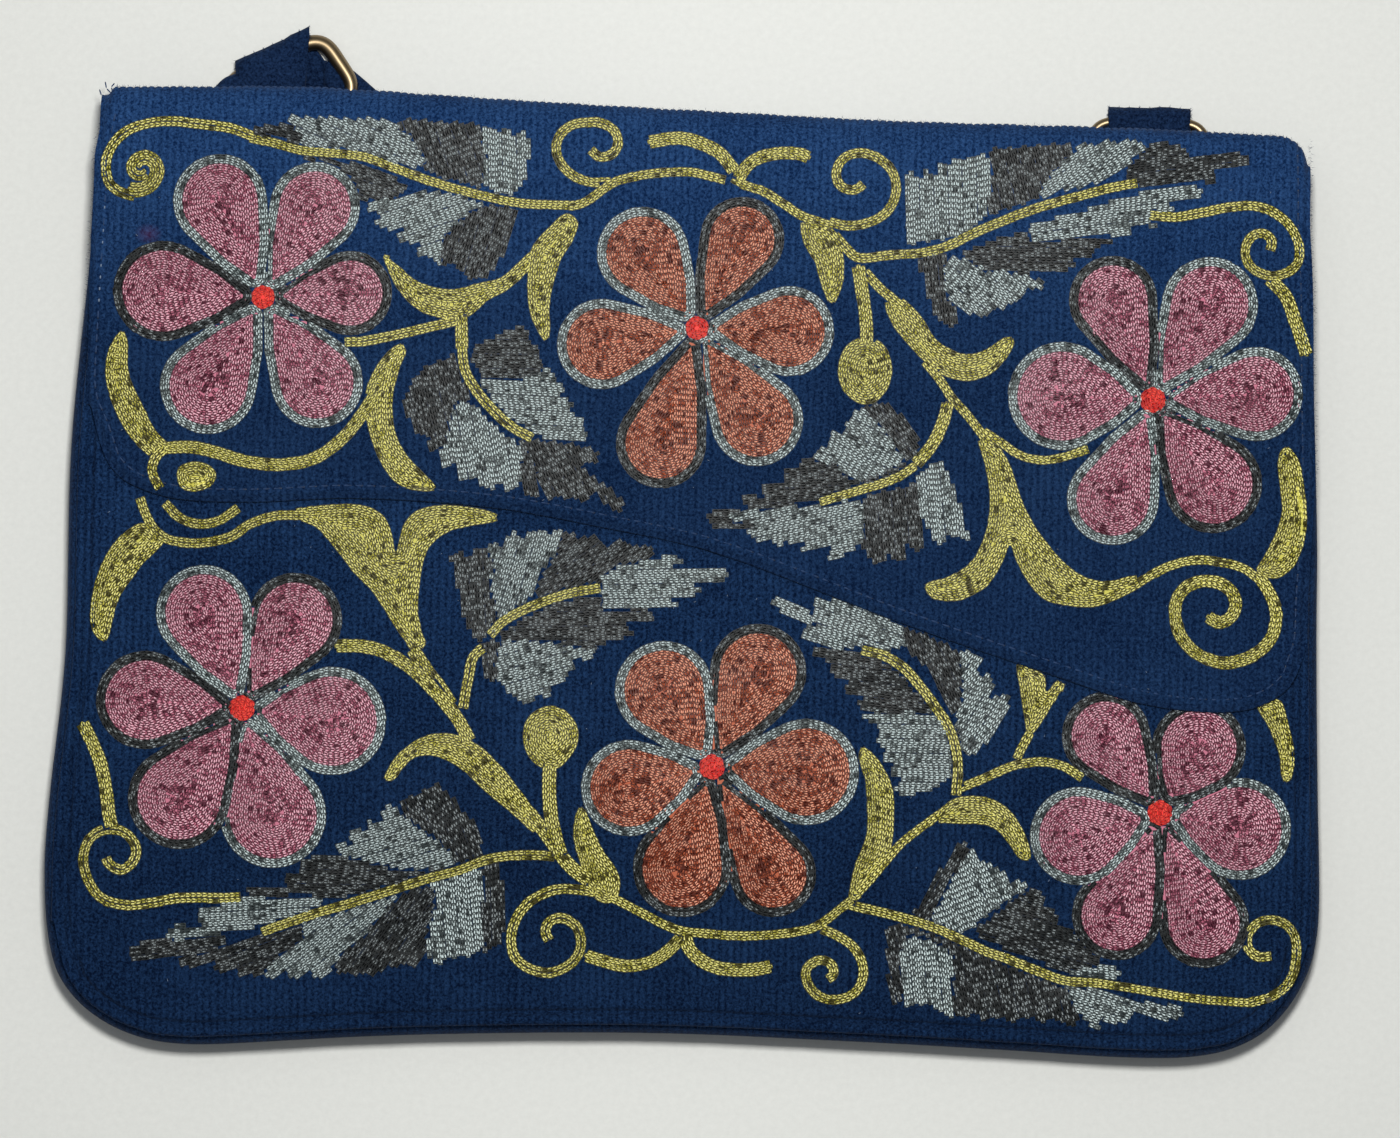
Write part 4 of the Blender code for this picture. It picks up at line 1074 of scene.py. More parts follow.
# The two-tone leaves: patches of silver and black thread, their rows' heading and outline
FLAP_LEAVES = [
    ("black", (1, 0.25), [(250, 128), (270, 125), (286, 124), (302, 134), (306, 150), (296, 154), (278, 147),
                          (258, 138)]),
    ("silver", (1, 0.45), [(286, 119), (302, 116), (350, 118), (382, 119), (400, 128), (421, 150),
                           (424, 166), (400, 167), (365, 154), (330, 150), (305, 147)]),
    ("black", (0.35, 1), [(398, 121), (412, 118), (440, 121), (466, 122), (481, 130), (483, 185), (460, 182),
                          (440, 178), (423, 166), (420, 150), (403, 132)]),
    ("silver", (0.03, 1), [(482, 130), (488, 125), (497, 131), (505, 126), (513, 134), (522, 130),
                           (530, 142), (528, 165), (522, 186), (512, 195), (500, 195), (488, 189),
                           (482, 180)]),
    ("black", (1, 0.35), [(303, 155), (340, 161), (365, 166), (402, 182), (404, 194), (380, 200), (350, 199),
                          (328, 191), (310, 175)]),
    ("silver", (1, -0.32), [(398, 197), (440, 191), (482, 203), (470, 213), (446, 236), (441, 263),
                            (426, 257), (415, 253), (418, 243), (398, 242), (396, 234), (405, 228),
                            (385, 230), (375, 224), (379, 215), (366, 209), (372, 202)]),
    ("black", (0.3, -1), [(482, 205), (517, 208), (516, 223), (506, 250), (491, 273), (478, 280), (465, 277),
                          (455, 266), (441, 263), (446, 237), (466, 215)]),
    # second leaf
    ("black", (1, 0.02), [(470, 356), (478, 344), (500, 334), (523, 326), (533, 343), (541, 351), (541, 362),
                          (545, 370), (520, 379), (490, 379), (478, 371)]),
    ("silver", (1, 0.05), [(480, 377), (520, 377), (548, 368), (556, 378), (565, 386), (562, 396),
                           (573, 402), (572, 412), (583, 419), (587, 436), (585, 444), (545, 438),
                           (532, 431), (512, 420), (495, 404), (485, 390)]),
    ("black", (0.5, 1), [(520, 441), (545, 440), (585, 446), (598, 453), (596, 463), (581, 466), (598, 479),
                         (623, 501), (620, 512), (609, 508), (595, 491), (590, 501), (575, 500), (560, 498),
                         (545, 498), (538, 475), (530, 456)]),
    ("black", (0.25, 1), [(458, 353), (445, 358), (425, 366), (412, 381), (405, 396), (405, 411), (415, 426),
                          (418, 436), (430, 437), (427, 448), (437, 451), (447, 440), (451, 415),
                          (459, 402), (470, 401), (463, 376)]),
    ("silver", (0.18, 1), [(458, 402), (470, 402), (481, 411), (500, 430), (520, 446), (521, 470),
                           (518, 488), (506, 491), (498, 480), (495, 489), (482, 488), (478, 475),
                           (472, 481), (460, 479), (456, 462), (452, 468), (441, 464), (443, 440),
                           (450, 415)]),
    ("black", (0.18, 1), [(520, 446), (534, 460), (541, 480), (538, 496), (527, 497), (521, 480)]),
    # third leaf
    ("black", (0.7, 1), [(866, 403), (885, 403), (905, 419), (919, 441), (920, 455), (906, 459), (895, 441),
                         (881, 426), (866, 413)]),
    ("silver", (1, 0.5), [(845, 425), (852, 413), (862, 408), (871, 415), (885, 428), (898, 442), (906, 458),
                          (893, 469), (870, 479), (850, 479), (836, 466), (820, 461), (814, 455),
                          (818, 447), (828, 447), (827, 440), (833, 431), (842, 432)]),
    ("black", (1, -0.05), [(802, 459), (835, 463), (850, 479), (880, 473), (903, 463), (907, 470),
                           (880, 484), (850, 493), (810, 501), (780, 508), (750, 508), (741, 502),
                           (745, 496), (765, 497), (759, 490), (765, 483), (785, 483), (781, 473),
                           (790, 467), (800, 470)]),
    ("silver", (1, -0.22), [(740, 512), (800, 506), (820, 505), (862, 501), (863, 540), (846, 553),
                            (836, 561), (827, 557), (830, 548), (815, 548), (808, 556), (801, 550),
                            (803, 543), (785, 543), (778, 549), (771, 540), (755, 541), (747, 532),
                            (752, 526), (745, 521), (725, 519)]),
    ("black", (1, 0.0), [(707, 519), (712, 511), (740, 510), (752, 515), (756, 528), (715, 528)]),
    ("black", (0.08, 1), [(863, 498), (905, 486), (917, 481), (919, 500), (923, 546), (915, 551), (905, 545),
                          (903, 561), (893, 561), (888, 552), (885, 563), (873, 563), (865, 552),
                          (857, 545), (863, 530)]),
    ("silver", (0.1, 1), [(918, 476), (930, 465), (941, 459), (946, 470), (956, 490), (963, 515), (966, 530),
                          (974, 533), (966, 541), (950, 536), (945, 544), (935, 543), (928, 530),
                          (920, 510)]),
    # fourth leaf
    ("silver", (0.03, 1), [(905, 180), (912, 171), (920, 178), (926, 169), (935, 174), (941, 162),
                           (950, 163), (957, 157), (968, 158), (975, 154), (988, 156), (990, 180),
                           (985, 216), (960, 236), (920, 243), (905, 241)]),
    ("black", (0.25, 1), [(990, 150), (1010, 147), (1030, 145), (1066, 143), (1076, 150), (1060, 165),
                          (1046, 185), (1035, 200), (1000, 212), (985, 217), (989, 180)]),
    ("silver", (1, -0.6), [(1070, 155), (1085, 142), (1096, 146), (1108, 139), (1121, 142), (1135, 139),
                           (1146, 145), (1135, 158), (1120, 172), (1100, 182), (1060, 192), (1035, 199),
                           (1045, 182), (1058, 165)]),
    ("black", (1, -0.12), [(1145, 147), (1165, 142), (1188, 150), (1196, 157), (1245, 154), (1248, 165),
                           (1211, 168), (1217, 174), (1215, 184), (1190, 181), (1160, 186), (1140, 186),
                           (1124, 176), (1136, 158)]),
    ("silver", (1, -0.12), [(1132, 195), (1170, 188), (1198, 186), (1201, 198), (1172, 202), (1174, 212),
                            (1150, 217), (1157, 226), (1131, 225), (1134, 235), (1125, 239), (1100, 235),
                            (1040, 241), (1029, 235), (1032, 225), (1080, 211)]),
    ("black", (1, 0.02), [(962, 254), (1000, 238), (1028, 233), (1034, 242), (1100, 237), (1113, 241),
                          (1100, 247), (1090, 256), (1070, 257), (1080, 263), (1060, 271), (1020, 273),
                          (985, 268)]),
    ("silver", (0.8, 0.6), [(946, 260), (962, 258), (1000, 269), (1020, 274), (1043, 281), (1042, 289),
                            (1026, 291), (1022, 301), (1011, 303), (1005, 311), (995, 308), (990, 316),
                            (966, 313), (950, 300), (943, 281)]),
    ("black", (0.1, 1), [(920, 250), (946, 256), (944, 281), (955, 308), (956, 326), (941, 323), (930, 302),
                         (922, 276)]),
]
PANEL_LEAVES = [
    # fifth leaf
    ("black", (0.05, 1), [(448, 556), (460, 551), (468, 556), (478, 547), (489, 552), (492, 600), (500, 626),
                          (490, 636), (476, 641), (465, 620), (458, 590), (452, 565)]),
    ("silver", (0.3, -1), [(488, 552), (492, 542), (502, 545), (505, 538), (515, 531), (522, 537),
                           (530, 532), (540, 528), (548, 533), (555, 528), (563, 533), (560, 546),
                           (550, 560), (540, 576), (532, 596), (510, 612), (500, 621), (492, 600)]),
    ("black", (1, -0.75), [(562, 535), (572, 532), (580, 538), (592, 535), (603, 540), (606, 548),
                           (612, 542), (625, 539), (633, 547), (645, 543), (656, 553), (650, 560),
                           (630, 563), (605, 571), (600, 586), (570, 588), (545, 596), (534, 593),
                           (545, 572), (555, 555)]),
    ("silver", (1, -0.02), [(601, 590), (602, 572), (625, 562), (655, 558), (675, 555), (683, 562),
                            (676, 567), (722, 567), (728, 575), (722, 582), (695, 583), (701, 590),
                            (690, 598), (672, 598), (675, 608), (610, 609), (601, 600)]),
    ("black", (1, 0.0), [(500, 634), (530, 615), (560, 602), (600, 598), (610, 609), (650, 609), (651, 622),
                         (628, 623), (633, 635), (610, 641), (605, 646), (585, 648), (560, 643),
                         (510, 641)]),
    ("silver", (1, -0.3), [(499, 645), (515, 640), (560, 643), (591, 647), (593, 659), (575, 660),
                           (577, 668), (568, 672), (566, 683), (555, 685), (548, 697), (540, 695),
                           (530, 701), (518, 701), (505, 690), (496, 675)]),
    ("black", (0.1, 1), [(480, 643), (499, 641), (496, 660), (496, 681), (487, 681), (484, 660)]),
    # sixth leaf
    ("silver", (1, 0.42), [(772, 598), (780, 598), (800, 607), (816, 617), (812, 625), (798, 620),
                           (775, 607)]),
    ("silver", (1, 0.33), [(812, 603), (822, 598), (840, 602), (852, 605), (880, 614), (902, 627),
                           (906, 645), (885, 651), (862, 645), (850, 650), (820, 646), (801, 638),
                           (803, 628), (815, 624)]),
    ("black", (1, 0.12), [(814, 648), (850, 652), (865, 656), (895, 669), (915, 691), (931, 712), (870, 711),
                          (857, 705), (862, 697), (844, 692), (847, 682), (834, 677), (827, 662),
                          (815, 656)]),
    ("silver", (1, 0.02), [(868, 712), (935, 713), (949, 740), (953, 770), (940, 786), (905, 796),
                           (894, 788), (900, 780), (889, 772), (892, 763), (881, 758), (884, 748),
                           (874, 740), (880, 730), (866, 720)]),
    ("black", (0.5, 1), [(904, 628), (930, 636), (956, 651), (961, 670), (962, 700), (955, 716), (945, 700),
                         (930, 671), (913, 656), (904, 645)]),
    ("silver", (-0.6, 1), [(955, 653), (970, 651), (981, 657), (979, 674), (990, 674), (995, 685),
                           (989, 699), (1003, 692), (1010, 700), (1004, 715), (990, 739), (975, 753),
                           (965, 756), (957, 736), (956, 715), (963, 690)]),
    # seventh leaf
    ("black", (0.4, 1), [(400, 800), (415, 794), (437, 783), (446, 792), (458, 800), (463, 812), (473, 820),
                         (481, 840), (481, 856), (472, 863), (456, 863), (445, 846), (425, 831),
                         (405, 816)]),
    ("silver", (1, -0.3), [(334, 850), (340, 842), (351, 843), (348, 833), (357, 827), (366, 830),
                           (366, 821), (380, 820), (382, 810), (391, 804), (402, 813), (421, 829),
                           (445, 846), (456, 863), (430, 869), (395, 868), (370, 862), (350, 858)]),
    ("black", (1, 0.02), [(247, 888), (262, 885), (285, 888), (283, 878), (300, 870), (298, 865), (310, 857),
                          (335, 856), (370, 862), (400, 870), (446, 868), (420, 878), (380, 888),
                          (340, 898), (320, 898), (300, 894), (255, 899)]),
    ("silver", (1, -0.05), [(222, 900), (240, 897), (300, 899), (326, 901), (300, 915), (265, 925),
                            (230, 932), (200, 936), (180, 941), (167, 938), (168, 928), (180, 925),
                            (200, 925), (196, 915), (200, 908), (220, 908)]),
    ("black", (1, -0.12), [(127, 955), (135, 945), (160, 939), (222, 937), (221, 948), (180, 955),
                           (140, 961), (129, 959)]),
    ("black", (1, -0.35), [(180, 958), (221, 949), (262, 935), (300, 922), (301, 940), (281, 955),
                           (268, 968), (260, 974), (240, 976), (235, 970), (225, 975), (215, 970),
                           (213, 963), (200, 968), (182, 966)]),
    ("silver", (1, -0.75), [(300, 924), (340, 912), (396, 896), (376, 920), (361, 940), (341, 955),
                            (332, 969), (325, 979), (315, 978), (308, 972), (300, 981), (288, 976),
                            (282, 970), (275, 981), (265, 975), (270, 962), (285, 950), (299, 938)]),
    ("black", (0.7, -1), [(396, 897), (431, 885), (435, 900), (428, 930), (425, 955), (415, 966), (400, 966),
                          (385, 969), (375, 975), (360, 975), (340, 974), (335, 968), (345, 952),
                          (362, 936), (378, 916)]),
    ("silver", (0.1, 1), [(432, 882), (476, 868), (481, 880), (483, 930), (481, 950), (470, 957), (458, 958),
                          (448, 960), (437, 966), (430, 960), (425, 955), (430, 925), (435, 900)]),
    ("black", (0.03, 1), [(478, 868), (497, 863), (502, 880), (505, 920), (501, 941), (490, 951), (482, 948),
                          (482, 900)]),
    # eighth leaf
    ("black", (-0.5, 1), [(962, 841), (969, 848), (961, 865), (951, 880), (941, 900), (930, 920), (915, 919),
                          (911, 914), (925, 900), (935, 880), (945, 862), (953, 850)]),
    ("silver", (0.45, 1), [(965, 855), (972, 849), (978, 858), (986, 860), (992, 864), (998, 869),
                           (1008, 870), (1008, 880), (1022, 880), (1027, 890), (1010, 900), (995, 911),
                           (981, 921), (970, 931), (955, 932), (930, 921), (941, 900), (951, 880)]),
    ("black", (1, 0.28), [(1025, 890), (1042, 892), (1046, 905), (1056, 912), (1061, 925), (1076, 928),
                          (1086, 945), (1096, 955), (1101, 965), (1085, 969), (1060, 971), (1030, 956),
                          (1000, 946), (974, 932), (990, 918), (1010, 902)]),
    ("silver", (1, 0.12), [(1062, 968), (1095, 965), (1116, 967), (1120, 977), (1100, 982), (1075, 981)]),
    ("silver", (0.1, 1), [(903, 942), (930, 940), (951, 955), (952, 985), (951, 1005), (956, 1016),
                          (945, 1017), (935, 1008), (920, 1005), (905, 1003)]),
    ("black", (0.25, 1), [(889, 925), (920, 929), (960, 944), (1000, 962), (1060, 986), (1071, 1000),
                          (1079, 1020), (1068, 1028), (1058, 1020), (1040, 1023), (1030, 1018),
                          (1010, 1023), (1000, 1018), (985, 1021), (975, 1015), (958, 1018), (952, 1000),
                          (953, 960), (930, 940), (904, 941), (902, 1000), (890, 1001), (887, 960)]),
    ("silver", (1, 0.33), [(1060, 986), (1100, 988), (1130, 1000), (1178, 1006), (1183, 1015), (1171, 1021),
                           (1130, 1013), (1134, 1021), (1115, 1023), (1100, 1018), (1103, 1029),
                           (1090, 1026), (1080, 1015), (1069, 1000)]),
]


# Stitches

TAKEN = {}
CELL = 4.0
CLEARANCE = 3.25


def claim(point, row):
    """True if no other row's stitch lies at this place of the chart, which it then takes."""
    i, j = int(point[0] // CELL), int(point[1] // CELL)
    for di in (-1, 0, 1):
        for dj in (-1, 0, 1):
            for x, y, other in TAKEN.get((i + di, j + dj), ()):
                if other != row and (x - point[0]) ** 2 + (y - point[1]) ** 2 < CLEARANCE ** 2:
                    return False
    TAKEN.setdefault((i, j), []).append((point[0], point[1], row))
    return True


class Stitches:
    """Chain stitches of one cloth, collected by thread colour."""

    def __init__(self):
        self.rows = 0
        self.made = {name: [] for name in THREADS}
        self.grounds = {name: [] for name in THREADS}

    def fill(self, colour, outline, sharp=False):
        """A plain ground of thread under a filled shape."""
        line = outline if sharp else smooth_line(outline, 4.0, closed=True)[:-1]
        low, high = line.min(0) - 3, line.max(0) + 3
        xs = np.arange(low[0], high[0], 4.2)
        ys = np.arange(low[1], high[1], 4.2)
        grid = np.stack(np.meshgrid(xs, ys), -1)
        flat = grid.reshape(-1, 2)
        closed = np.concatenate([line, line[:1]])
        good = is_inside(flat, line) & (away_from(closed, flat[:, 0], flat[:, 1]) > 1.6)
        good = good.reshape(grid.shape[:2])
        cell = good[:-1, :-1] & good[:-1, 1:] & good[1:, 1:] & good[1:, :-1]
        j, i = np.nonzero(cell)
        corners = [grid[j, i], grid[j + 1, i], grid[j + 1, i + 1], grid[j, i + 1]]
        self.grounds[colour].append(np.stack(corners, 1))

    def row(self, colour, line, depth=0.0):
        self.rows += 1
        line = even(np.asarray(line, float), STITCH_LENGTH)
        for start, stop in zip(line, line[1:]):
            if np.hypot(*(stop - start)) < 2.5:
                continue
            if claim((start + stop) / 2, (id(self), self.rows)):
                self.made[colour].append((*start, *stop, depth))


def flower(stitches, heart, dot, colour, petals):
    heart_line = [(heart[0] + dot * math.cos(a), heart[1] + dot * math.sin(a))
                  for a in np.linspace(0, math.tau, 16, endpoint=False)]
    for runs in rings_inside(heart_line, 0.5):
        for run in runs:
            stitches.row("red", run)
    outlines = [petal_outline(heart, petal[:2], petal[2]) for petal in petals]
    stitches.fill("red", np.array(heart_line))
    for outline in outlines:
        stitches.fill(colour, outline, sharp=True)
    for outline, petal in zip(outlines, petals):
        rows = rings_inside(outline, 0.5, sharp=True)
        for index, runs in enumerate(rows):
            inward = (index - 2) / max(1, len(rows) - 3)
            for run in runs:
                if index < 2:
                    stitches.row(petal[3], run, depth=0.22 * index)
                else:
                    stitches.row(colour, run, depth=0.56 * inward ** 2 - 0.06)
    for outline, petal in zip(outlines, petals):
        for runs in rings_inside(outline, 3.0, sharp=True):
            for run in runs:
                stitches.row(colour, run, depth=0.48)
        inner = np.array(petal[:2]) + (outline - petal[:2]) * 0.80
        for heading in (np.subtract(petal[:2], heart), (1.0, 0.2), (0.1, -1.0)):
            for line, _ in rows_across(inner, heading):
                stitches.row(colour, line, depth=0.48)


def embroider(flowers, stems, greens, leaves):
    stitches = Stitches()
    for heart, dot, colour, petals in flowers:
        flower(stitches, heart, dot, colour, petals)
    for width, points in stems:
        for line in rows_along(points, width):
            stitches.row("green", line)
    for outline in greens:
        stitches.fill("green", outline)
    for first in (0.5, 1.0):
        for outline in greens:
            for runs in rings_inside(outline, first):
                for run in runs:
                    stitches.row("green", run)
    for outline in greens:
        for heading in ((1.0, 0.3), (0.3, -1.0)):
            for line, _ in rows_across(outline, heading):
                stitches.row("green", line)
    for colour, heading, outline in leaves:
        for line, depth in rows_across(outline, heading):
            stitches.row(colour, line, depth)
    return stitches


def on_cloth(points, height):
    """Chart places carried down the line of sight to where they meet the cloth."""
    x, y = chart_plane(points)
    px, py = x.copy(), y.copy()
    for _ in range(3):
        z = height(px, py)
        share = (EYE_Z - z) / (EYE_Z - CHART_LEVEL)
        px = EYE_X + (x - EYE_X) * share
        py = EYE_Y + (y - EYE_Y) * share
    return px, py, z


LEG_STATIONS = [(-0.14, 0.05, 0.02, 0.0), (0.22, 0.52, 0.12, 0.20), (0.70, 0.62, 0.18, 0.23),
                (1.10, 0.10, 0.22, 0.0)]
HALF_ROW = 0.00058


def stitch_piece(name, colour, records, grounds, height, keep):
    """All chain stitches of one colour on one cloth as one mesh."""
    data = np.array(records)
    ax, ay, _ = on_cloth(data[:, 0:2], height)
    bx, by, _ = on_cloth(data[:, 2:4], height)
    good = keep((ax + bx) / 2, (ay + by) / 2)
    data, ax, ay, bx, by = data[good], ax[good], ay[good], bx[good], by[good]
    count = len(data)
    if not count:
        return None
    along = np.stack([bx - ax, by - ay], 1)
    length = np.hypot(along[:, 0], along[:, 1])
    along /= length[:, None]
    side = np.stack([-along[:, 1], along[:, 0]], 1)
    start = np.stack([ax, ay], 1) + side * rng.normal(0, 0.00004, count)[:, None]
    blocks, faces, tones = [], [], []
    patch = wave_noise(data[:, 0], data[:, 1], 34.0, 21) * 0.12
    # Each leg draws a tone at random: the light tone is partly a painted highlight, the dark tone partly painted
    # shade. A row's depth lowers its share of the light tone.
    light, middle = TONE_SHARES[colour]
    inner = np.clip(data[:, 4] - 0.16, -0.1, 0.38)
    light_to = light + patch - inner * 1.3
    middle_to = light + middle + patch * 0.4 - inner * 0.5
    own = rng.random(count)
    alike = rng.random(count) < (0.2 if colour == "black" else 0.6)
    for sign in (1, -1):
        draw = np.where(alike, own, rng.random(count))
        tone = np.where(draw < light_to, 0, np.where(draw < middle_to, 1, 2))
        rings = []
        for s, o, h, r in LEG_STATIONS:
            centre = start + along * (s * length)[:, None]
            centre = centre + side * (sign * o * HALF_ROW * rng.uniform(0.9, 1.1, count))[:, None]
            z = height(centre[:, 0], centre[:, 1]) + RIB_DEPTH + h * MM * rng.uniform(0.6, 1.3, count)
            if r == 0.0:
                rings.append(np.concatenate([centre, z[:, None]], 1)[:, None])
            else:
                radius = r * MM
                left = np.concatenate([centre + side * radius, (z - 0.00026)[:, None]], 1)
                top = np.concatenate([centre, (z + radius)[:, None]], 1)
                right = np.concatenate([centre - side * radius, (z - 0.00026)[:, None]], 1)
                rings.append(np.stack([left, top, right], 1))
        leg = np.concatenate(rings, 1)
        offset = sum(len(block) for block in blocks)
        first = offset + np.arange(count) * 8
        tris = [(0, 2, 1), (0, 3, 2), (4, 7, 5), (5, 7, 6)]
        quads = [(1, 2, 5, 4), (2, 3, 6, 5)]
        blocks.append(leg.reshape(-1, 3))
        faces.append((np.stack([np.stack([first + k for k in tri], 1) for tri in tris], 1).reshape(-1, 3),
                      np.stack([np.stack([first + k for k in quad], 1) for quad in quads], 1).reshape(-1, 4)))
        tones.append(tone)
    # painted shade: a flat bed in the dark tone under the chain, for the shade in the gaps between the stitches
    shade_bed = []
    for s, o in ((-0.1, -1), (1.1, -1), (1.1, 1), (-0.1, 1)):
        centre = start + along * (s * length)[:, None] + side * (o * HALF_ROW * 1.08)
        z = height(centre[:, 0], centre[:, 1]) + RIB_DEPTH + 0.00003
        shade_bed.append(np.concatenate([centre, z[:, None]], 1))
    offset = sum(len(block) for block in blocks)
    blocks.append(np.stack(shade_bed, 1).reshape(-1, 3))
    shade_bed_faces = offset + np.arange(count * 4).reshape(-1, 4)
    ground_faces = np.zeros((0, 4), int)
    if grounds:
        corners = np.concatenate(grounds)
        gx, gy, gz = on_cloth(corners.reshape(-1, 2), height)
        good = keep(gx, gy).reshape(-1, 4).all(1)
        cells = np.stack([gx, gy, gz + RIB_DEPTH + 0.00001], 1).reshape(-1, 4, 3)[good]
        offset = sum(len(block) for block in blocks)
        blocks.append(cells.reshape(-1, 3))
        ground_faces = offset + np.arange(len(cells) * 4).reshape(-1, 4)
    tri_faces = np.concatenate([block[0] for block in faces])
    quad_faces = np.concatenate([block[1] for block in faces] + [shade_bed_faces, ground_faces])
    # Painted shade: the pointed ends of each leg, where it tucks under the neighbouring loops, take a darker tone,
    # the far end at random half the time.
    ends = [np.stack([np.minimum(tone + 1, 2)] * 2 + [np.minimum(tone + (rng.random(count) < 0.5), 2)] * 2, 1)
            for tone in tones]
    # The ground cells take the middle tone, the painted shade bed the dark tone.
    indices = np.concatenate([end.ravel() for end in ends] + [np.repeat(tone, 2) for tone in tones]
                             + [np.full(count, 2), np.full(len(ground_faces), 1)])
    return mesh_piece(name, np.concatenate(blocks), [tri_faces, quad_faces], THREAD_LOOKS[colour], indices)


def on_flap(x, y):
    left, right = flap_sides(y)
    return (y > np.interp(x, flap_xs, flap_end) + 0.0012) & (x > left + 0.0008) & (x < right - 0.0008)


def below_flap(x, y):
    return y < np.interp(x, flap_xs, flap_end) + 0.0002


flap_piece = flap_cloth()
panel_piece = panel_cloth()
gusset_piece = gusset_cloth()
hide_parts("flap")
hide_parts("front_panel")
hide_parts("gusset")

embroidery = {"flap": [], "panel": []}
for where, charts, height, keep in (
        ("flap", (FLAP_FLOWERS, FLAP_STEMS, FLAP_GREENS, FLAP_LEAVES), flap_height, on_flap),
        ("panel", (PANEL_FLOWERS, PANEL_STEMS, PANEL_GREENS, PANEL_LEAVES), panel_height, below_flap)):
    TAKEN.clear()
    stitches = embroider(*charts)
    for colour, records in stitches.made.items():
        if records:
            piece = stitch_piece(f"chain_stitch_{where}_{colour}", colour, records,
                                 stitches.grounds[colour], height, keep)
            if piece:
                embroidery[where].append(piece)
                print("STITCHES", piece.name, len(records), len(piece.data.polygons))

wires = [ring_wire(side) for side in ("left", "right")]


def inward_line(line, distance, spacing):
    """A line moved into the cloth from its edge, at an even spacing."""
    line = even(line, 0.0008)
    along = np.gradient(line, axis=0)
    along /= np.maximum(np.linalg.norm(along, axis=1), 1e-12)[:, None]
    return even(line + np.stack([-along[:, 1], along[:, 0]], 1) * distance, spacing)


def threads(name, starts, ends, radius, look, index=None):
    """Short straight threads from arrays of starts and ends, pointed at both ends."""
    along = ends - starts
    size = np.linalg.norm(along, axis=1)[:, None]
    unit = along / size
    across = np.cross(unit, (0.0, 0.0, 1.0))
    across /= np.maximum(np.linalg.norm(across, axis=1), 1e-9)[:, None]
    over = np.cross(across, unit)
    points = [starts]
    for share in (0.18, 0.82):
        middle = starts + along * share
        points += [middle - across * radius, middle + over * radius, middle + across * radius]
    points.append(ends)
    points = np.stack(points, 1)
    first = np.arange(len(starts)) * 8
    tris = [(0, 2, 1), (0, 3, 2), (4, 7, 5), (5, 7, 6)]
    quads = [(1, 2, 5, 4), (2, 3, 6, 5)]
    tri_faces = np.stack([np.stack([first + k for k in tri], 1) for tri in tris], 1).reshape(-1, 3)
    quad_faces = np.stack([np.stack([first + k for k in quad], 1) for quad in quads], 1).reshape(-1, 4)
    looks = look if isinstance(look, list) else [look]
    indices = None if index is None else np.concatenate([np.repeat(index, 4), np.repeat(index, 2)])
    return mesh_piece(name, points.reshape(-1, 3), [tri_faces, quad_faces], looks, indices)


def topstitching():
    line = inward_line(FLAP_EDGE, 0.0031, 0.0029)
    z = flap_height(line[:, 0], line[:, 1]) + RIB_DEPTH * 0.9
    line = np.concatenate([line, z[:, None]], 1)
    starts, ends = line[:-1], line[1:]
    gap = (ends - starts) * 0.12
    pale = ((starts[:, 1] > 0.048) & (starts[:, 1] < 0.088) & (starts[:, 0] < 0) & (rng.random(len(starts)) < 0.6))
    starts, ends = starts + gap, ends - gap
    ends[pale] = starts[pale] + (ends - starts)[pale] * 0.4
    return threads("flap_topstitching", starts, ends, 0.00019, [NAVY_THREAD, PALE_THREAD], pale.astype(int))


def fuzz():
    """Loose pile that stands out past the edges of the cloth."""
    bases, headings = [], []

    def add(points, outward, count, level):
        pick = rng.integers(0, len(points), count)
        bases.append(np.concatenate([points[pick] + rng.normal(0, 0.0003, (count, 2)),
                                     (level[pick] + rng.uniform(-0.002, 0.002, count))[:, None]], 1))
        headings.append(np.concatenate([outward[pick], rng.normal(0.1, 0.4, (count, 1))], 1))

    xs = np.linspace(flap_sides(0.1)[0] + 0.001, flap_sides(0.1)[1] - 0.001, 900)
    fold = np.stack([xs, fold_at(xs) - 0.0001], 1)
    add(fold, np.tile((0.0, 1.0), (900, 1)), 5200, np.full(900, 0.0150))
    for line, count, drop in ((FLAP_EDGE, 4200, 0.0010), (PANEL_EDGE, 4200, 0.0008)):
        line = even(line, 0.0006)
        along = np.gradient(line, axis=0)
        along /= np.maximum(np.linalg.norm(along, axis=1), 1e-12)[:, None]
        out = np.stack([along[:, 1], -along[:, 0]], 1)
        field = FLAP_FIELD if drop == 0.0010 else PANEL_FIELD
        add(line, out, count, height_at(field, line[:, 0], line[:, 1]) - drop)
    for piece in (strap_piece, *tab_pieces):
        points = np.array([v.co for v in piece.data.vertices])
        normals = np.array([v.normal for v in piece.data.vertices])
        good = np.flatnonzero((points[:, 1] > 0.098) & (np.abs(normals[:, 2]) < 0.8))
        if not len(good):
            continue
        pick = good[rng.integers(0, len(good), 1800)]
        bases.append(points[pick])
        headings.append(normals[pick])
    base = np.concatenate(bases)
    heading = np.concatenate(headings) + rng.normal(0, 0.35, (len(base), 3))
    heading /= np.linalg.norm(heading, axis=1)[:, None]
    length = rng.uniform(0.0002, 0.0008, len(base)) * np.where(rng.random(len(base)) < 0.06, 1.8, 1.0)
    side = np.cross(heading, rng.normal(0, 1, (len(base), 3)))
    side /= np.linalg.norm(side, axis=1)[:, None]
    tip = base + heading * length[:, None]
    tip[:, 2] = np.maximum(tip[:, 2], 0.0002)
    base[:, 2] = np.maximum(base[:, 2], 0.0002)
    points = np.stack([base - side * 0.00005, base + side * 0.00005, tip], 1).reshape(-1, 3)
    return mesh_piece("corduroy_fuzz", points, [np.arange(len(points)).reshape(-1, 3)], [FUZZ])


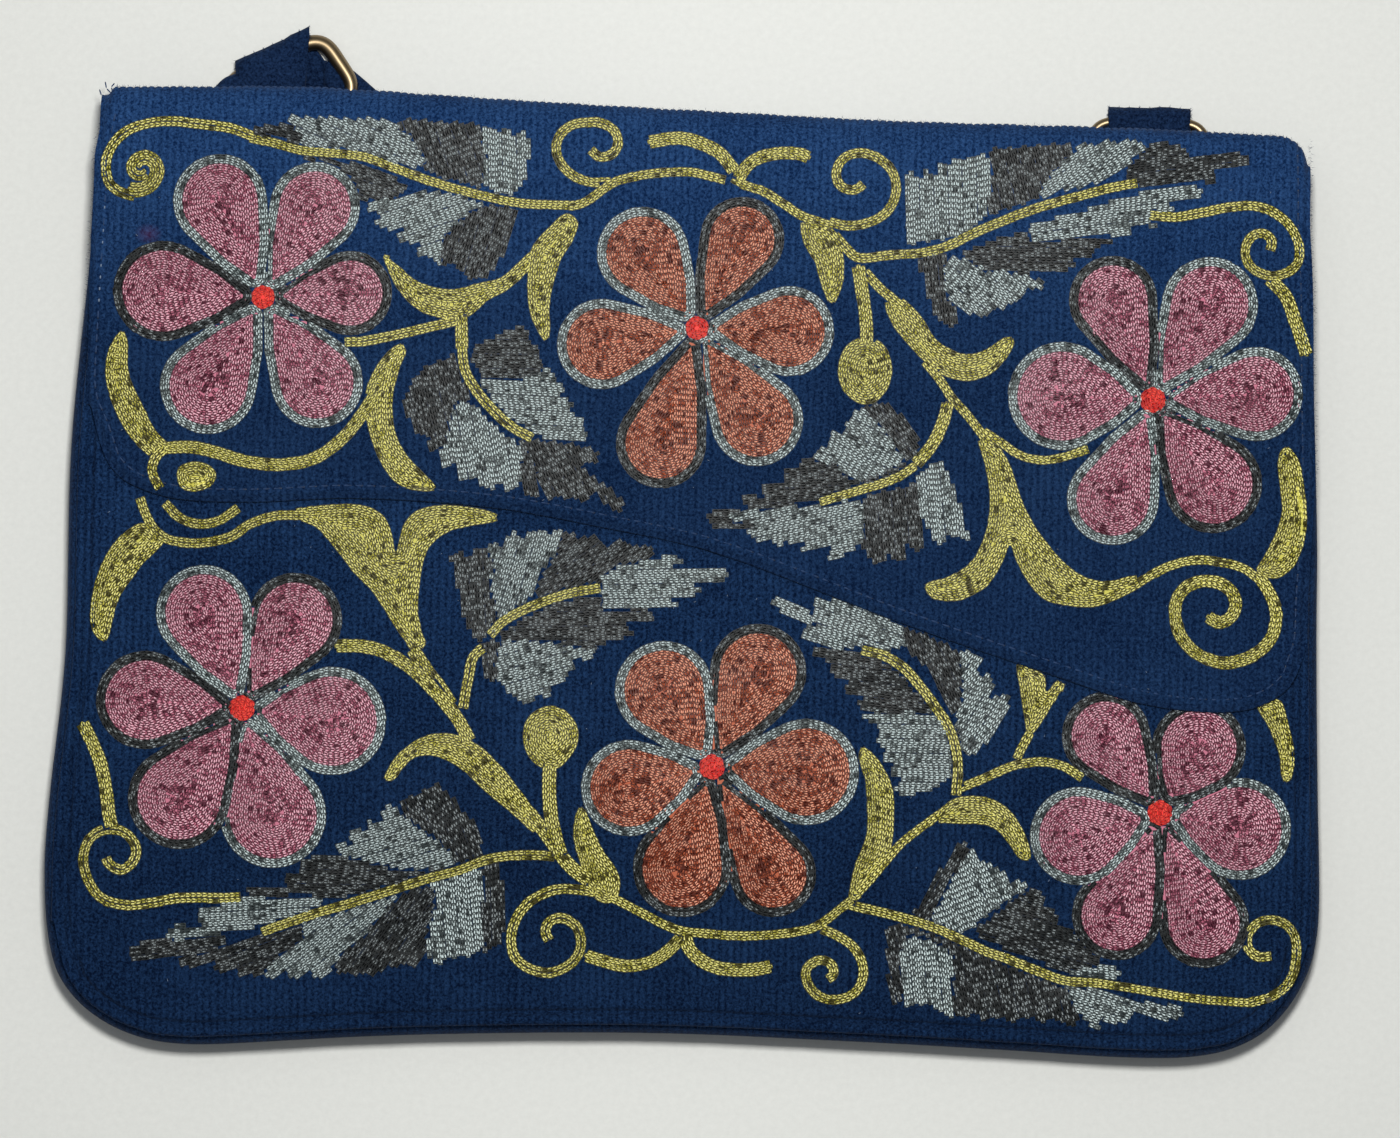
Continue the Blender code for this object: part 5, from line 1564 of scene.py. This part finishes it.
def lint():
    """A few pale specks of lint on the cloth."""
    x, y = rng.uniform(-0.145, 0.150, 130), rng.uniform(-0.118, 0.100, 130)
    upper = on_flap(x, y)
    z = np.where(upper, flap_height(x, y), panel_height(x, y)) + RIB_DEPTH + 0.0002
    start = np.stack([x, y, z], 1)
    turn = rng.uniform(0, math.tau, 130)
    size = rng.uniform(0.00025, 0.0008, 130)
    end = start + np.stack([np.cos(turn) * size, np.sin(turn) * size, np.zeros(130)], 1)
    return threads("lint", start, end, 0.00006, PALE_THREAD)


def thread_ends():
    """Cut thread ends that stand out at the flap's top left corner."""
    left = float(flap_sides(0.106)[0])
    y = float(fold_at(left + 0.002))
    paths = [((0.0, 0.0), (-0.0012, 0.0012), (-0.0016, 0.0030)), ((0.0005, 0.0), (0.0, 0.0016), (0.0008, 0.0026)),
             ((-0.0008, -0.0015), (-0.0024, -0.0006), (-0.0030, 0.0010))]
    starts, ends = [], []
    for path in paths:
        for a, b in zip(path, path[1:]):
            starts.append((left + 0.0010 + a[0], y - 0.0010 + a[1], 0.0125))
            ends.append((left + 0.0010 + b[0], y - 0.0010 + b[1], 0.0120))
    return threads("corner_threads", np.array(starts), np.array(ends), 0.00016, NAVY_THREAD)


def loose_layer(name, upper, left, right, level, swell_height):
    """A patch of the strap's cloth that shows beside the left loop, with a soft raw edge."""
    upper = smooth_line(upper, 2.0)
    lower = np.stack([np.linspace(left, right, len(upper)), np.full(len(upper), 96.0)], 1)
    rows = []
    for step in range(13):
        t = step / 12
        x, y = chart_plane(upper * (1 - t) + lower * t)
        u = np.linspace(0, 1, len(upper))
        swell = np.sqrt(np.clip(1 - (1 - 2 * min(t, 0.5)) ** 2, 0, 1)) * np.sqrt(np.clip(1 - (1 - u) ** 6, 0, 1))
        z = level + swell_height * swell + 0.00025 * wave_noise(x, y, 0.005, 51)
        rows.append(np.stack([x, y, z], 1))
    rows.insert(0, rows[0] + (0, -0.0003, -0.0012))
    grid = np.array(rows)
    return mesh_piece(name, grid.reshape(-1, 3), [grid_faces(*grid.shape[:2], flip=True)], [BAND_CORD])


back_piece = dressed("back_panel", "back_panel_cloth", BACK_CORD, edge=0.0005, cut=0.0075)
strap_piece = dressed("strap", "strap_cloth", BAND_CORD, edge=0.0007, cut=0.0032, crumple=0.00035)
tab_pieces = [dressed("tab_" + side, "tab_cloth_" + side, BAND_CORD, edge=0.0004, cut=0.0016)
              for side in ("left", "right")]


layer_pieces = [
    loose_layer("strap_second_layer", [(214, 84), (223, 76), (236, 71), (250, 67), (270, 63)], 211, 270,
                0.0058, 0.0022),
    loose_layer("strap_turned_end", [(322, 60), (333, 57), (346, 64), (360, 75), (377, 90)], 322, 378,
                0.0030, 0.0016)]
stitching_piece = topstitching()
fuzz_piece = fuzz()
lint_piece = lint()
ends_piece = thread_ends()

# Floor, light and camera

def floor_material():
    """Pale cloth with a fine mottle and a painted pool of light that brightens it around the upper middle."""
    made = node_material("pale_floor", (0.76, 0.77, 0.74), 0.9)
    tree = made.node_tree
    link = tree.links.new
    where = tree.nodes.new("ShaderNodeTexCoord")
    flat = add_node(tree, "ShaderNodeVectorMath")
    flat.operation = "MULTIPLY"
    flat.inputs[1].default_value = (1, 0.5, 0)
    link(where.outputs["Object"], flat.inputs[0])
    gap = tree.nodes.new("ShaderNodeVectorMath")
    gap.operation = "DISTANCE"
    link(flat.outputs[0], gap.inputs[0])
    gap.inputs[1].default_value = (0, 0.025, 0)
    # Painted light: brighter near the upper middle, falling off with distance from it.
    painted_light_span = tree.nodes.new("ShaderNodeMapRange")
    for key, value in zip(("From Min", "From Max", "To Min", "To Max"), (0.0, 0.2, 1.02, 0.89)):
        painted_light_span.inputs[key].default_value = value
    link(gap.outputs["Value"], painted_light_span.inputs["Value"])
    mottle = add_node(tree, "ShaderNodeTexNoise", Scale=620.0, Detail=3.0, Roughness=0.7)
    link(where.outputs["Object"], mottle.inputs["Vector"])
    gain = add_node(tree, "ShaderNodeMath")
    gain.operation = "MULTIPLY_ADD"
    link(mottle.outputs["Fac"], gain.inputs[0])
    gain.inputs[1].default_value = 0.15
    link(painted_light_span.outputs["Result"], gain.inputs[2])
    tint = tree.nodes.new("ShaderNodeVectorMath")
    tint.operation = "SCALE"
    tint.inputs[0].default_value = (0.76, 0.77, 0.74)
    link(gain.outputs[0], tint.inputs["Scale"])
    link(tint.outputs[0], tree.nodes["Principled BSDF"].inputs["Base Color"])
    return made


floor_mesh = bpy.data.meshes.new("floor")
floor_mesh.from_pydata([(-1.5, -1.5, -0.00005), (1.5, -1.5, -0.00005), (1.5, 1.5, -0.00005),
                        (-1.5, 1.5, -0.00005)], [], [(0, 1, 2, 3)])
floor = bpy.data.objects.new("floor", floor_mesh)
floor_look = floor_material()
floor_mesh.materials.append(floor_look)
bpy.context.scene.collection.objects.link(floor)
floor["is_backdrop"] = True


def area_light(name, place, aim, size, power, colour):
    lamp = bpy.data.lights.new(name, "AREA")
    lamp.shape = "SQUARE"
    lamp.size = size
    lamp.energy = power
    lamp.color = colour
    item = bpy.data.objects.new(name, lamp)
    item.location = place
    item.rotation_mode = "QUATERNION"
    item.rotation_quaternion = (Vector(aim) - Vector(place)).to_track_quat("-Z", "Y")
    bpy.context.scene.collection.objects.link(item)
    return item


area_light("key", (0.03, 0.26, 1.41), (0, 0, 0), 0.17, 16.2, (1.0, 0.99, 0.965))
area_light("fill", (-0.3, 0.5, 2.2), (0, 0, 0), 1.8, 5.0, (0.95, 0.98, 1.0))

world = bpy.data.worlds.new("soft_room")
world.use_nodes = True
world.node_tree.nodes["Background"].inputs["Color"].default_value = (0.93, 0.96, 1.0, 1)
world.node_tree.nodes["Background"].inputs["Strength"].default_value = 0.17
bpy.context.scene.world = world
bpy.context.scene.view_settings.view_transform = "Standard"

camera_data = bpy.data.cameras.new("camera")
camera_data.lens = LENS
camera_data.sensor_width = 36.0
camera = bpy.data.objects.new("camera", camera_data)
right = Vector((math.cos(CHART_TURN), math.sin(CHART_TURN), 0))
ahead = Vector((-math.sin(CHART_TURN), math.cos(CHART_TURN), 0))
pose = Matrix((right, ahead, (0, 0, 1))).transposed().to_4x4()
pose.translation = (EYE_X, EYE_Y, EYE_Z)
camera.matrix_world = pose
bpy.context.scene.collection.objects.link(camera)
bpy.context.scene.camera = camera

bpy.context.view_layer.update()
triangles = {}
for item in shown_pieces():
    triangles[item.name] = sum(len(p.vertices) - 2 for p in item.data.polygons)
print("TRIANGLES", sum(triangles.values()), sorted(triangles.items(), key=lambda t: -t[1])[:12])
